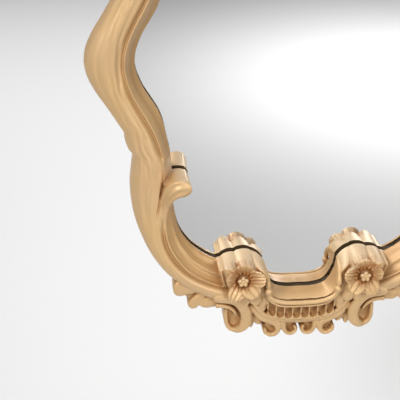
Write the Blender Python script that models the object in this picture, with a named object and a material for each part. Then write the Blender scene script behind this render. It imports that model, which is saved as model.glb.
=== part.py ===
"""Carved wall mirror: a cast scrollwork frame, its silvered pane, glazing strip, backing board and hangers.

The frame faces -Y and hangs with +Z up. The origin is the middle of its flat back.
One quarter of the carving, left and low, is drawn in millimetres and mirrored to the other three.
"""

import bmesh
import bpy
from math import cos, exp, pi, radians, sin, sqrt
from mathutils import Vector

# overall size, in metres, and the size at which the quarter was drawn, in millimetres
FRAME_WIDTH = 0.722
FRAME_HEIGHT = 1.030
FRAME_DEPTH = 0.077
DRAWN_HALF_WIDTH = 361.0
DRAWN_HALF_HEIGHT = 515.0
DRAWN_DEPTH = 77.0

# what is held in the frame, from the back to the front
BOARD_THICKNESS = 0.0040
PANE_THICKNESS = 0.0040
STRIP_THICKNESS = 0.0060
STRIP_WIDTH = 0.0060
FACE_GAP = 0.0003
SIDE_CLEARANCE = 0.0010
LEDGE_WIDTH = 0.0100

# board screws and the two keyhole hangers
SCREW_SHANK_RADIUS = 0.0014
SCREW_HEAD_RADIUS = 0.0030
SCREW_HEAD_HEIGHT = 0.0016
SCREW_LENGTH = 0.0140
SCREW_POINT = 0.0020
SCREW_SIDES = 8
SCREW_CLEARANCE = 0.0005
HANGER_WIDTH = 0.0200
HANGER_HEIGHT = 0.0500
HANGER_THICKNESS = 0.0018
HANGER_POCKET_DEPTH = 0.0100
KEYHOLE_RADIUS = 0.0048
KEYHOLE_SLOT = 0.0050
KEYHOLE_RISE = 0.0120
KEYHOLE_SIDES = 16
HANGER_SCREW_PITCH = 0.0380

# how finely the casting is cut: the skin's cells, its softening, and how far it is thinned
VOXEL_SIZE = 0.0016
SOFTENED_TIMES = 4
CASTING_TRIANGLES = 1390
MIDDLE_SNAP = 0.00001
MIDDLE_MERGE = 0.00002
CUT_REACH = 0.0100

# derived places across the depth, measured forward from the flat back
PANE_BACK = BOARD_THICKNESS + FACE_GAP
PANE_FRONT = PANE_BACK + PANE_THICKNESS
STRIP_BACK = PANE_FRONT + FACE_GAP
STRIP_FRONT = STRIP_BACK + STRIP_THICKNESS
LIP_BACK = STRIP_FRONT + FACE_GAP
WIDE = FRAME_WIDTH / 2 / DRAWN_HALF_WIDTH
TALL = FRAME_HEIGHT / 2 / DRAWN_HALF_HEIGHT
DEEP = FRAME_DEPTH / DRAWN_DEPTH
BURIED = -8.0
MM = 0.001

# the arm, from mid-height down to the flower: its outer edge and the edge that shows against the pane
OUTER_EDGE = (
    (-361, 14), (-358, -16), (-346, -44), (-329, -71), (-314, -96), (-302, -117), (-300, -132), (-295, -147),
    (-288, -157), (-291, -184), (-294, -217), (-290, -262), (-279, -301), (-263, -339), (-237, -378),
    (-204, -407), (-169, -428), (-138, -440), (-108, -446),
)
SIGHT_EDGE = (
    (-281, 14), (-278, -16), (-268, -43), (-255, -65), (-243, -86), (-236, -106), (-232, -126), (-229, -141),
    (-226, -155), (-224, -184), (-223, -215), (-221, -255), (-213, -297), (-195, -327), (-174, -346),
    (-157, -357), (-142, -363), (-124, -368), (-104, -372),
)
# where the moulding's lines run, as shares from the outer edge to the sight edge, at stations along the arm,
# how far the groove is sunk, and how far the cove's ridge rises
GROOVE_SHARE = ((0, 0.76), (2, 0.69), (4, 0.64), (6, 0.70), (9, 0.77), (11, 0.74), (12, 0.58), (13, 0.47),
                (15, 0.41), (17, 0.42))
BEAD_STEP = ((0, 0.05), (10, 0.06), (12, 0.10), (13, 0.10), (14, 0.08), (15, 0.04), (17, 0.03))
GROOVE_SUNK = ((7.6, 1.0), (8.6, 0.0), (11.0, 0.0), (12.2, 1.0))
RIDGE_SHARE = ((0, 0.90), (11, 0.93), (12, 0.88), (13, 0.80), (14, 0.73), (16, 0.69), (17, 0.62))
RIDGE_RISE = ((0, 0.0), (10, 0.0), (12, 4.0), (14, 7.0), (18, 9.0))

PANE_EDGE = (
    (-290, 0), (-277, -48), (-252, -90), (-236, -150), (-232, -225), (-224, -292), (-198, -338),
    (-160, -366), (-112, -376), (-76, -392), (-58, -420), (-30, -432), (0, -433),
)
OUTLINE_STEPS = 16
BOARD_SCREW_STATIONS = (3, 9)
HANGER_PLACE = (-267, 196)


def knots(t, pairs, last=18):
    """Value at t in 0..1 of a line through (station, value) pairs, level before the first of them."""
    station = t * last
    if station <= pairs[0][0]:
        return pairs[0][1]
    for (s0, v0), (s1, v1) in zip(pairs, pairs[1:]):
        if station <= s1:
            share = (station - s0) / (s1 - s0)
            eased = share * share * (3 - 2 * share)
            return v0 + (v1 - v0) * eased
    return pairs[-1][1]


def catmull(points, t):
    """Point at t in 0..1 of a smooth curve that passes through all the points."""
    last = len(points) - 1
    place = min(max(t, 0.0), 1.0) * last
    i = min(int(place), last - 1)
    f = place - i
    p1, p2 = Vector(points[i]), Vector(points[i + 1])
    p0 = Vector(points[i - 1]) if i else p1 * 2 - p2
    p3 = Vector(points[i + 2]) if i + 2 <= last else p2 * 2 - p1
    return 0.5 * (2 * p1 + (p2 - p0) * f + (2 * p0 - 5 * p1 + 4 * p2 - p3) * f ** 2
                  + (3 * p1 - p0 - 3 * p2 + p3) * f ** 3)


def through(*points):
    """Path of a smooth curve through (x, z) or (x, z, depth) points."""
    return lambda t: catmull(points, t)


def rounded(t, head, tail):
    """Round both ends of a swept form, over the head and tail shares of its length."""
    scale = 1.0
    if head and t < head:
        scale *= sqrt(max(0.0, 1 - (1 - t / head) ** 2))
    if tail and t > 1 - tail:
        scale *= sqrt(max(0.0, 1 - (1 - (1 - t) / tail) ** 2))
    return scale


def real(x, z, depth):
    """Place a drawn point, in millimetres, at its real size."""
    return Vector((x * WIDE, -depth * DEEP, z * TALL))


def grid_solid(bm, place, across, along):
    """Closed body from a grid: place(u, v) gives its front and its buried back, u and v in 0..1."""
    grid = bmesh.ops.create_grid(bm, x_segments=across, y_segments=along, size=0.5)
    shares = {v: (v.co.x + 0.5, v.co.y + 0.5) for v in grid["verts"]}
    faces = list({f for v in grid["verts"] for f in v.link_faces})
    backs = {}
    for vert, (u, v) in shares.items():
        front, back = place(u, v)
        vert.co = front
        backs[tuple(front)] = back
    region = bmesh.ops.extrude_face_region(bm, geom=faces)
    for item in region["geom"]:
        if isinstance(item, bmesh.types.BMVert):
            item.co = backs[tuple(item.co)]


def sweep(bm, path, half_width, front, crown, base=BURIED, head=0.25, tail=0.25, steps=28, sides=14):
    """Rounded moulding along a path.

    half_width, front and crown are numbers or functions of t: half the width, the depth of the crest, and how
    far the crest rises over the springing of its round. The sides run back to base.
    """
    width_at = half_width if callable(half_width) else lambda t: half_width
    front_at = front if callable(front) else lambda t: front
    crown_at = crown if callable(crown) else lambda t: crown
    base_at = base if callable(base) else lambda t: base

    def place(u, v):
        here = path(v)
        ahead = path(min(v + 0.01, 1.0)) - path(max(v - 0.01, 0.0))
        side = Vector((-ahead[1], ahead[0]))
        side.normalize()
        scale = rounded(v, head, tail)
        angle = pi * u
        offset = side * width_at(v) * scale * cos(angle)
        rise = crown_at(v)
        spring = front_at(v) - rise
        depth = spring + rise * sin(angle) * (0.35 + 0.65 * scale)
        x, z = here[0] + offset[0], here[1] + offset[1]
        low = base_at(v)
        return real(x, z, depth), real(x, z, min(low, depth - 1.0))

    grid_solid(bm, place, sides, steps)


def cord(bm, path, radius, sides=10, steps=24, head=0.15, tail=0.15):
    """Round rod along a path of (x, z, depth) points, with rounded ends."""
    radius_at = radius if callable(radius) else lambda t: radius
    grid = bmesh.ops.create_grid(bm, x_segments=sides, y_segments=steps, size=0.5)
    for vert in grid["verts"]:
        u, v = vert.co.x + 0.5, vert.co.y + 0.5
        here = path(v)
        ahead = path(min(v + 0.01, 1.0)) - path(max(v - 0.01, 0.0))
        ahead.normalize()
        side = ahead.cross(Vector((0, 0, 1)))
        if side.length < 0.05:
            side = Vector((1, 0, 0))
        side.normalize()
        rise = side.cross(ahead)
        size = radius_at(v) * rounded(v, head, tail)
        x, z, depth = here + (side * cos(2 * pi * u) + rise * sin(2 * pi * u)) * size
        vert.co = real(x, z, depth)
    bmesh.ops.remove_doubles(bm, verts=grid["verts"], dist=MIDDLE_MERGE)


def ball(bm, x, z, depth, radius):
    """Small round boss."""
    made = bmesh.ops.create_icosphere(bm, subdivisions=2, radius=radius)
    for vert in made["verts"]:
        vert.co = real(x + vert.co.x, z + vert.co.z, depth - vert.co.y)


def arm_section(t):
    """Section of the arm at t: (share across, depth) from the outer edge to the sight edge."""
    groove = knots(t, GROOVE_SHARE)
    bead = groove + knots(t, BEAD_STEP)
    ridge = knots(t, RIDGE_SHARE)
    rise = knots(t, RIDGE_RISE)
    sunk = knots(t, GROOVE_SUNK)
    fall = 1 - bead
    between = 0.5 * (bead + ridge)
    return (
        (0.0, 12), (0.01, 25), (0.08 * groove, 36), (0.28 * groove, 45), (0.56 * groove, 50),
        (0.84 * groove, 50), (groove, 46 - 3 * sunk), (bead, 43 + 4.5 * sunk),
        (bead + 0.20 * fall, 40 - 0.5 * rise), (between + 0.1 * fall, 33 - 0.2 * rise), (ridge, 27 + rise),
        (0.5 * (ridge + 1), 23 + 0.3 * rise), (1.0, 20),
    )


def arm(bm):
    """The long S-shaped arm with its rounded face, groove, bead and cove, to the flower."""
    def place(u, v):
        outer = catmull(OUTER_EDGE, v)
        sight = catmull(SIGHT_EDGE, v)
        share, depth = catmull(arm_section(v), u)
        flute = 1.3 * cos(2 * pi * 3.2 * share) * exp(-((v - 0.18) / 0.17) ** 2) if share < 0.55 else 0.0
        here = outer + (sight - outer) * share
        return real(here[0], here[1], depth + flute), real(here[0], here[1], BURIED)

    grid_solid(bm, place, 60, 170)


def inner_curl(bm):
    """The curl that turns in over the pane, with its stem and three flowing ridges."""
    top = ((-248, -252, 46), (-244, -228, 53), (-240, -211, 62), (-233, -198, 70), (-223, -189, 75),
           (-211, -186, 77), (-201, -187, 75))
    low = ((-234, -276, 46), (-231, -252, 52), (-227, -236, 61), (-221, -225, 69), (-213, -219, 73),
           (-204, -216, 74), (-198, -213, 72))

    def place(u, v):
        a, b = catmull(top, v), catmull(low, v)
        here = a + (b - a) * u
        bulge = sin(pi * u) ** 0.6
        tip = 5.5 * sin(pi * u) * max(0.0, v - 0.8) * 5
        flow = 1.7 * cos(2 * pi * 2.5 * u) * sin(pi * min(1.0, v * 1.1))
        depth = here[2] - 6 + 6 * bulge + flow
        lean = (9 - 14 * v) * (1 - u) * min(1.0, v * 3)
        return real(here[0] + tip, here[1], depth), real(here[0] + tip * 0.6, here[1] + lean, BURIED)

    grid_solid(bm, place, 24, 36)


def folds(bm):
    """A thin rib and three fluted folds that rise from the pane's edge and run forward under the flower."""
    foot = ((-149, -361), (-141, -358), (-117, -350), (-88, -348), (-66, -367))
    rim = ((-147, -363), (-141, -362), (-115, -362), (-82, -370), (-62, -391))
    back = ((-138, -400), (-131, -402), (-114, -402), (-88, -404), (-70, -410))
    swell = ((1, 2), (4, 8), (5, 12), (3, 9))
    rim_depth = ((62, 64), (67, 72), (70, 66), (63, 57))
    crease_depth = (4, 11, 10, 10, 6)
    lip_depth = 12
    roll_fall = 14
    wall_share = 0.6
    count = len(swell)

    def place(u, v):
        fold = min(int(v * count), count - 1)
        share = v * count - fold
        bump = sin(pi * share) ** 0.6

        def along(line):
            return Vector(line[fold]) + (Vector(line[fold + 1]) - Vector(line[fold])) * share

        square = Vector(foot[fold + 1]) - Vector(foot[fold])
        square = Vector((-square[1], square[0])).normalized()
        low = along(foot) + square * swell[fold][0] * bump
        top = along(rim) + square * swell[fold][1] * bump
        crease = crease_depth[fold] * (1 - share) + crease_depth[fold + 1] * share
        crest = rim_depth[fold][0] * (1 - share) + rim_depth[fold][1] * share - crease * (1 - bump)
        wall = min(u / wall_share, 1.0)
        roll = max(0.0, (u - wall_share) / (1 - wall_share))
        spot = low + (top - low) * wall
        spot = spot + (along(back) - spot) * roll ** 1.5
        depth = lip_depth + (crest - lip_depth) * sin(pi / 2 * wall) ** 0.9 - roll_fall * roll ** 2
        base = low if u < wall_share else spot
        return real(spot[0], spot[1], depth), real(base[0], base[1], BURIED)

    grid_solid(bm, place, 26, 80)


def strip_and_ball(bm):
    """The rolled edge beside the folds, which ends in a small ball."""
    path = through((-69, -368, 8), (-67, -372, 30), (-65, -378, 50), (-63, -388, 60), (-61, -402, 61))
    cord(bm, path, lambda t: 4.0 + 1.5 * t)
    ball(bm, -61, -407, 60, 7)
    sweep(bm, through((-72, -370), (-70, -388), (-67, -408), (-64, -424)), 7, 46, 7)
    sweep(bm, through((-78, -392), (-70, -404), (-66, -420)), 8, 53, 6)


def bottom_lip(bm):
    """The short straight lip under the pane, with a thick bead and a thin one below it."""
    foot = ((-62, -388), (-53, -408), (-42, -419), (-22, -424), (0, -424), (10, -424))
    front = ((-64, -404), (-57, -418), (-42, -427), (-22, -430), (0, -430), (10, -430))

    def place(u, v):
        a, b = catmull(foot, v), catmull(front, v)
        here = a + (b - a) * u
        depth = 12 + 44 * sin(pi / 2 * u) ** 0.9
        return real(here[0], here[1], depth), real(a[0], a[1], BURIED)

    grid_solid(bm, place, 16, 30)
    cord(bm, through((-63, -404, 56), (-57, -419, 57), (-45, -427, 57), (-28, -431, 57), (-8, -432, 57),
                     (10, -432, 57)), 3.8)
    cord(bm, through((-66, -410, 52), (-61, -424, 54), (-50, -434, 55), (-36, -440, 55), (-16, -442, 55),
                     (10, -442, 55)), 2.4)
    sweep(bm, through((-64, -416), (-52, -430), (-38, -437), (-16, -439), (10, -439)), 7, 52, 6)


def niche_row(bm):
    """The row of little round-ended niches under the lip, with thin fins and a scalloped rim."""
    pitch = 14.8
    count = 4
    fin_depth = 50
    fin_foot = -466
    climb = 7.0
    sweep(bm, through((-66, -442), (-52, -453), (-34, -458), (0, -459), (12, -459)), 17, 38, 4)
    sweep(bm, through((-66, -442), (-72, -452)), 7, 45, 4)
    for i in range(count + 1):
        x = -pitch * i
        lift = climb * (i / count) ** 3
        fin = through((x, -438 + lift, fin_depth), (x, -454 + lift, fin_depth),
                      (x, fin_foot + lift, fin_depth - 3))
        cord(bm, fin, 2.0, head=0.1, tail=0.1)
    for i in range(count):
        x = -pitch * (i + 0.5)
        lift = climb * ((i + 0.5) / count) ** 3
        arc = [(x + 0.5 * pitch * cos(pi * k / 6), fin_foot + lift - 6.5 * sin(pi * k / 6), fin_depth - 3)
               for k in range(7)]
        cord(bm, through(*arc), 1.8)


def lower_scrolls(bm):
    """The band under the niches, its two volutes, and the small leaf beside them."""
    band = through((-88, -432), (-79, -447), (-67, -461), (-50, -472), (-28, -476), (12, -476))
    sweep(bm, band, 4.5, 46, 4)
    sweep(bm, through((-88, -442), (-78, -458), (-62, -472), (-47, -479), (-38, -487)), 9, 43, 6)
    sweep(bm, through((-30, -480), (-10, -481), (12, -481)), 7.5, 40, 5)
    first = through((-82, -459), (-68, -472), (-54, -480), (-43, -487), (-38, -497), (-42, -507), (-51, -510),
                    (-60, -505), (-62, -495))
    sweep(bm, first, lambda t: 7 - 2.6 * t, lambda t: 44 - 4 * t, 5, head=0.1, tail=0.1, steps=60)
    sweep(bm, through((-60, -495), (-43, -497)), 13, 28, 3)
    second = through((-31, -477), (-28.5, -488), (-26.5, -500), (-19.5, -508.5), (-10, -508), (-5.5, -500),
                     (-10, -493))
    sweep(bm, second, lambda t: 5.4 - 1.6 * t, lambda t: 43 - 4 * t, 5, head=0.1, tail=0.1, steps=60)
    sweep(bm, through((-24, -496), (-9, -496)), 12, 28, 3)
    sweep(bm, through((-90, -456), (-88, -476), (-86, -498)), lambda t: 9 - 4 * t, 34, 7)
    sweep(bm, through((-86, -466), (-77, -480), (-69, -493)), lambda t: 10 - 4 * t, 32, 7)


def big_scroll(bm):
    """The large volute below the flower: a broad ribbon that turns round a hollow cup."""
    ribbon = through((-156, -424), (-134, -424), (-115, -431), (-103, -445), (-96.5, -462), (-97, -479),
                     (-104, -491), (-115, -497), (-125, -493), (-130.5, -481), (-131.5, -466), (-131, -452))
    half = ((0, 10.5), (8, 10), (10.5, 8), (12.2, 5), (18, 4))
    crest = ((0, 53), (9, 46), (12.6, 38), (18, 36))
    sweep(bm, ribbon, lambda t: knots(t, half), lambda t: knots(t, crest), 6, head=0.08, tail=0.05, steps=90)
    tongue = through((-152, -441), (-139, -442), (-126, -448), (-117, -457), (-113, -468))
    sweep(bm, tongue, lambda t: 6 - 2.6 * t, lambda t: 47 - 7 * t, 6)
    sweep(bm, through((-121, -456), (-118, -474), (-116, -492)), 15, 28, 4)


def side_leaves(bm):
    """Three leaves that peep out under the arm."""
    upper = through((-176, -409), (-200, -411.5), (-225, -412))
    sweep(bm, upper, lambda t: 11 + 6 * t, 34, 8, head=0.1, tail=0.22)
    sweep(bm, through((-168, -423), (-184, -438), (-195, -452)), lambda t: 10 + t, 33, 8, tail=0.30)
    sweep(bm, through((-128, -432), (-152, -439), (-180, -443)), lambda t: 13 - 2 * t, 35, 7, tail=0.25)
    sweep(bm, through((-204, -414), (-178, -428), (-144, -437)), 15, 24, 5)


def petal(bm, centre, turn, length, half_width, rim_depth):
    """One cupped petal about the flower's centre; turn in degrees, seen from the front."""
    along = Vector((cos(radians(turn)), sin(radians(turn))))
    side = Vector((-along[1], along[0]))
    root_depth = 57
    flutes = 2.5

    def place(u, v):
        w = 2 * u - 1
        reach_out = length * v * (1 - 0.15 * w * w)
        spread = half_width * w * sin(pi * min(1.0, 0.10 + 0.68 * v)) ** 0.8
        x, z = Vector(centre) + along * reach_out + side * spread
        opened = min(1.0, v * 1.1)
        cup = root_depth + (rim_depth - root_depth) * opened * opened * (3 - 2 * opened)
        flute = 1.6 * (abs(cos(pi * flutes * w)) - 0.6) * v
        edge = 2 * max(abs(w), v) ** 6 - 22 * max(0.0, v - 0.93)
        low = 36 if v > 0.2 else 32
        base = Vector(centre) * 0.55 + Vector((x, z)) * 0.45
        return real(x, z, cup + flute + edge), real(base[0], base[1], low)

    grid_solid(bm, place, 22, 18)


def flower(bm):
    """Five-petalled flower with a beaded heart, and the leaf behind it."""
    centre = (-106.5, -381.5)
    heart_depth = 63
    bead_ring = 5.4
    beads = 5
    for turn, length, half_width, rim_depth in ((86, 37.5, 19, 72), (13, 40, 18, 74), (-50, 39, 18, 71),
                                                (-117, 43, 17, 67), (158, 32, 15, 72)):
        petal(bm, centre, turn, length, half_width, rim_depth)
    ball(bm, *centre, heart_depth, 7.5)
    for i in range(beads):
        angle = 2 * pi * i / beads
        ball(bm, centre[0] + bead_ring * cos(angle), centre[1] + bead_ring * sin(angle), heart_depth + 5, 4.0)
    sweep(bm, through((-128, -398), (-105, -394), (-82, -398)), 24, 52, 9)
    sweep(bm, through((-94, -404), (-84, -418), (-79, -438)), lambda t: 12 + t, 57, 9)
    sweep(bm, through((-122, -408), (-104, -420), (-88, -432)), 13, 50, 9)
    sweep(bm, through((-66, -416), (-66, -431), (-73, -447)), 8, 50, 4)


def plate_behind(bm):
    """Flat ground that joins the carving behind the flower and scrolls."""
    sweep(bm, through((-150, -406), (-110, -408), (-70, -418)), 34, 34, 3)
    sweep(bm, through((-90, -446), (-50, -464), (12, -464)), 20, 32, 3)
    sweep(bm, through((-130, -450), (-104, -456), (-80, -460)), 20, 26, 3)
    sweep(bm, through((-66, -434), (-30, -442), (12, -442)), 18, 34, 3)


def material(name, colour, roughness, metallic):
    """Plain finish for one piece."""
    made = bpy.data.materials.new(name)
    made.use_nodes = True
    shader = made.node_tree.nodes["Principled BSDF"]
    shader.inputs["Base Color"].default_value = (*colour, 1.0)
    shader.inputs["Roughness"].default_value = roughness
    shader.inputs["Metallic"].default_value = metallic
    return made


def piece(name, bm, finish):
    """Turn a bmesh into a named object."""
    mesh = bpy.data.meshes.new(name)
    bm.to_mesh(mesh)
    bm.free()
    made = bpy.data.objects.new(name, mesh)
    bpy.context.scene.collection.objects.link(made)
    if finish:
        made.data.materials.append(finish)
    return made


def evaluated(owner):
    """Replace an object's mesh by what its modifiers make of it."""
    bpy.context.view_layer.update()
    seen = owner.evaluated_get(bpy.context.evaluated_depsgraph_get())
    mesh = bpy.data.meshes.new_from_object(seen)
    owner.modifiers.clear()
    owner.data = mesh
    return len(mesh.polygons)


def cut(target, cutter):
    """Cut one piece by another, which stays as a hidden guide."""
    cutter.hide_render = True
    cutter.display_type = "WIRE"
    boolean = target.modifiers.new(cutter.name, "BOOLEAN")
    boolean.operation = "DIFFERENCE"
    boolean.solver = "EXACT"
    boolean.object = cutter


def closed_outline():
    """Whole outline of the pane from its quarter, as real (x, z) points, clockwise from the front."""
    quarter = [catmull(PANE_EDGE, i / OUTLINE_STEPS) for i in range(OUTLINE_STEPS + 1)]
    left_low = [Vector((x * WIDE, z * TALL)) for x, z in quarter]
    low = left_low + [Vector((-x, z)) for x, z in reversed(left_low[:-1])]
    return low + [Vector((x, -z)) for x, z in reversed(low[1:-1])]


def grown(outline, distance):
    """Outline moved outward by a distance, square to its own run."""
    count = len(outline)
    moved = []
    for i, here in enumerate(outline):
        ahead = (outline[(i + 1) % count] - outline[i - 1]).normalized()
        moved.append(here + Vector((ahead[1], -ahead[0])) * distance)
    return moved


def slab(bm, outline, back, front):
    """Flat piece of an outline between two depths."""
    loop = [bm.verts.new((x, -back, z)) for x, z in outline]
    region = bmesh.ops.extrude_face_region(bm, geom=[bm.faces.new(loop)])
    moved = [g for g in region["geom"] if isinstance(g, bmesh.types.BMVert)]
    bmesh.ops.translate(bm, verts=moved, vec=(0, back - front, 0))


def box(bm, x, z, width, height, back, front):
    """Flat rectangular piece about a place on the back."""
    corners = [(x + sx * width / 2, z + sz * height / 2) for sx, sz in ((-1, -1), (1, -1), (1, 1), (-1, 1))]
    slab(bm, corners, back, front)


def turned(bm, x, z, profile):
    """Turned piece about a line along the depth; the profile holds (radius, depth) pairs."""
    chain = [bm.verts.new((radius, -depth, 0)) for radius, depth in profile]
    edges = [bm.edges.new(pair) for pair in zip(chain, chain[1:])]
    spun = bmesh.ops.spin(bm, geom=chain + edges, cent=(0, 0, 0), axis=(0, 1, 0), dvec=(0, 0, 0),
                          angle=2 * pi, steps=SCREW_SIDES, use_merge=True)
    verts = {v for g in spun["geom_last"] if isinstance(g, bmesh.types.BMVert) for v in reach(g)}
    bmesh.ops.translate(bm, verts=list(verts), vec=(x, 0, z))
    bmesh.ops.remove_doubles(bm, verts=list(verts), dist=MIDDLE_MERGE)


def reach(vert):
    """Every vertex joined to one vertex by edges."""
    found = {vert}
    front = [vert]
    while front:
        here = front.pop()
        for edge in here.link_edges:
            other = edge.other_vert(here)
            if other not in found:
                found.add(other)
                front.append(other)
    return found


def screw_profile(head_depth, grow):
    """(radius, depth) pairs of a flat-headed wood screw, or with grow of the hole that clears it."""
    open_back = head_depth - (CUT_REACH if grow else 0.0)
    tip = head_depth + SCREW_LENGTH + grow
    start = [(0, open_back), (SCREW_HEAD_RADIUS + grow, open_back)]
    if grow:
        start.append((SCREW_HEAD_RADIUS + grow, head_depth))
    return start + [(SCREW_SHANK_RADIUS + grow, head_depth + SCREW_HEAD_HEIGHT),
                    (SCREW_SHANK_RADIUS + grow, tip - SCREW_POINT), (0, tip)]


def solid(name, bm, finish):
    """Close a hardware piece's mesh, turn its faces outward and give it its object."""
    bm.normal_update()
    bmesh.ops.recalc_face_normals(bm, faces=bm.faces)
    return piece(name, bm, finish)


def guide(name, bm, targets):
    """Hidden cutter that is taken out of every target."""
    cutter = solid(name, bm, None)
    for target in targets:
        cut(target, cutter)


def quarter_casting(finish):
    """The carved quarter as one skin, thinned to its share of the casting's faces and cut square."""
    bm = bmesh.new()
    for carve in (arm, inner_curl, folds, strip_and_ball, bottom_lip, niche_row, lower_scrolls, big_scroll,
                  side_leaves, flower, plate_behind):
        carve(bm)
    casting = piece("frame", bm, finish)
    skin = casting.modifiers.new("skin", "REMESH")
    skin.mode = "VOXEL"
    skin.voxel_size = VOXEL_SIZE
    ease = casting.modifiers.new("ease", "SMOOTH")
    ease.factor = 0.5
    ease.iterations = SOFTENED_TIMES
    quads = evaluated(casting)
    thin = casting.modifiers.new("thin", "DECIMATE")
    thin.ratio = CASTING_TRIANGLES / (2 * quads)
    evaluated(casting)
    bm = bmesh.new()
    bm.from_mesh(casting.data)
    for normal in ((1, 0, 0), (0, 0, 1)):
        whole = bm.verts[:] + bm.edges[:] + bm.faces[:]
        bmesh.ops.bisect_plane(bm, geom=whole, dist=MIDDLE_SNAP, plane_co=(0, 0, 0), plane_no=normal,
                               clear_outer=True)
    bm.to_mesh(casting.data)
    bm.free()
    return casting


def mirrored(casting):
    """Mirror the quarter to the right and to the top, joined along the cuts."""
    mirror = casting.modifiers.new("mirror", "MIRROR")
    mirror.use_axis = (True, False, True)
    mirror.use_mirror_merge = True
    mirror.merge_threshold = MIDDLE_MERGE


def hanger(name, x, z, finish):
    """Keyhole plate let into the back of an arm."""
    bm = bmesh.new()
    box(bm, x, z, HANGER_WIDTH, HANGER_HEIGHT, FACE_GAP, FACE_GAP + HANGER_THICKNESS)
    plate = solid(name, bm, finish)
    bm = bmesh.new()
    hole = bmesh.ops.create_cone(bm, cap_ends=True, segments=KEYHOLE_SIDES, radius1=KEYHOLE_RADIUS,
                                 radius2=KEYHOLE_RADIUS, depth=2 * CUT_REACH)
    for vert in hole["verts"]:
        vert.co = Vector((x + vert.co.x, vert.co.z, z - KEYHOLE_RISE / 2 + vert.co.y))
    guide(name + "_eye_guide", bm, [plate])
    bm = bmesh.new()
    box(bm, x, z + KEYHOLE_RISE / 4, KEYHOLE_SLOT, KEYHOLE_RISE * 1.5, -CUT_REACH, CUT_REACH)
    guide(name + "_slot_guide", bm, [plate])
    return plate


def main():
    """Build every piece of the mirror."""
    for old in list(bpy.data.objects):
        bpy.data.objects.remove(old, do_unlink=True)
    gold = material("satin_gold", (0.60, 0.42, 0.22), 0.38, 0.35)
    silvered = material("silvered_pane", (0.90, 0.90, 0.90), 0.02, 1.0)
    dark_felt = material("dark_strip", (0.05, 0.03, 0.02), 0.85, 0.0)
    hardboard = material("backing_board", (0.32, 0.20, 0.11), 0.75, 0.0)
    zinc = material("zinc_steel", (0.62, 0.62, 0.60), 0.35, 1.0)

    outline = closed_outline()
    board_edge = grown(outline, LEDGE_WIDTH)
    frame = quarter_casting(gold)
    mirrored(frame)

    bm = bmesh.new()
    slab(bm, outline, PANE_BACK, PANE_FRONT)
    solid("mirror_pane", bm, silvered)

    bm = bmesh.new()
    slab(bm, outline, STRIP_BACK, STRIP_FRONT)
    strip = solid("glazing_strip", bm, dark_felt)
    bm = bmesh.new()
    slab(bm, grown(outline, -STRIP_WIDTH), STRIP_BACK - CUT_REACH, STRIP_FRONT + CUT_REACH)
    guide("strip_guide", bm, [strip])

    bm = bmesh.new()
    slab(bm, board_edge, 0.0, BOARD_THICKNESS)
    board = solid("backing_board", bm, hardboard)

    bm = bmesh.new()
    box(bm, 0, 0, FRAME_WIDTH * 1.2, FRAME_HEIGHT * 1.2, 4 * BURIED * MM, 0.0)
    guide("flat_back_guide", bm, [frame])
    bm = bmesh.new()
    slab(bm, grown(outline, SIDE_CLEARANCE), -CUT_REACH, LIP_BACK)
    guide("pane_rebate_guide", bm, [frame])
    bm = bmesh.new()
    slab(bm, grown(board_edge, SIDE_CLEARANCE), -CUT_REACH, BOARD_THICKNESS + FACE_GAP)
    guide("board_rebate_guide", bm, [frame])

    screw_line = grown(outline, LEDGE_WIDTH / 2)
    places = []
    for station in BOARD_SCREW_STATIONS:
        x, z = screw_line[station]
        places += [(sx * x, sz * z) for sx in (1, -1) for sz in (1, -1)]
    holes = bmesh.new()
    for number, (x, z) in enumerate(places, 1):
        bm = bmesh.new()
        turned(bm, x, z, screw_profile(FACE_GAP, 0.0))
        solid("board_screw_%02d" % number, bm, zinc)
        turned(holes, x, z, screw_profile(FACE_GAP, SCREW_CLEARANCE))
    guide("board_screw_guide", holes, [frame, board])

    for side, sign in (("left", 1), ("right", -1)):
        x, z = sign * HANGER_PLACE[0] * WIDE, HANGER_PLACE[1] * TALL
        plate = hanger("hanger_" + side, x, z, zinc)
        bm = bmesh.new()
        box(bm, x, z, HANGER_WIDTH + 2 * FACE_GAP, HANGER_HEIGHT + 2 * FACE_GAP, -CUT_REACH,
            2 * FACE_GAP + HANGER_THICKNESS)
        guide("hanger_seat_guide_" + side, bm, [frame])
        bm = bmesh.new()
        box(bm, x, z + KEYHOLE_RISE / 4, 3 * KEYHOLE_RADIUS, HANGER_SCREW_PITCH - 4 * SCREW_HEAD_RADIUS,
            -CUT_REACH, HANGER_POCKET_DEPTH)
        guide("hanger_pocket_guide_" + side, bm, [frame])
        holes = bmesh.new()
        for end, rise in (("top", 0.5), ("foot", -0.5)):
            spot = z + rise * HANGER_SCREW_PITCH
            bm = bmesh.new()
            turned(bm, x, spot, screw_profile(2 * FACE_GAP, 0.0))
            solid("hanger_screw_%s_%s" % (side, end), bm, zinc)
            turned(holes, x, spot, screw_profile(2 * FACE_GAP, SCREW_CLEARANCE))
        guide("hanger_screw_guide_" + side, holes, [plate, frame])


main()
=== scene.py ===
"""Looks of a carved wall mirror: a satin gold scrollwork casting round a silvered pane.

The frame faces -Y and hangs with +Z up; the origin is the middle of its flat back. The carving is
drawn in millimetres as (x, z, depth forward from the back) for the quarter that lies left and low,
and is mirrored to the other three quarters.
"""

import logging
from collections.abc import Callable, Sequence
from dataclasses import dataclass
from enum import Enum
from math import cos, exp, pi, radians, sin, sqrt

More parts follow.
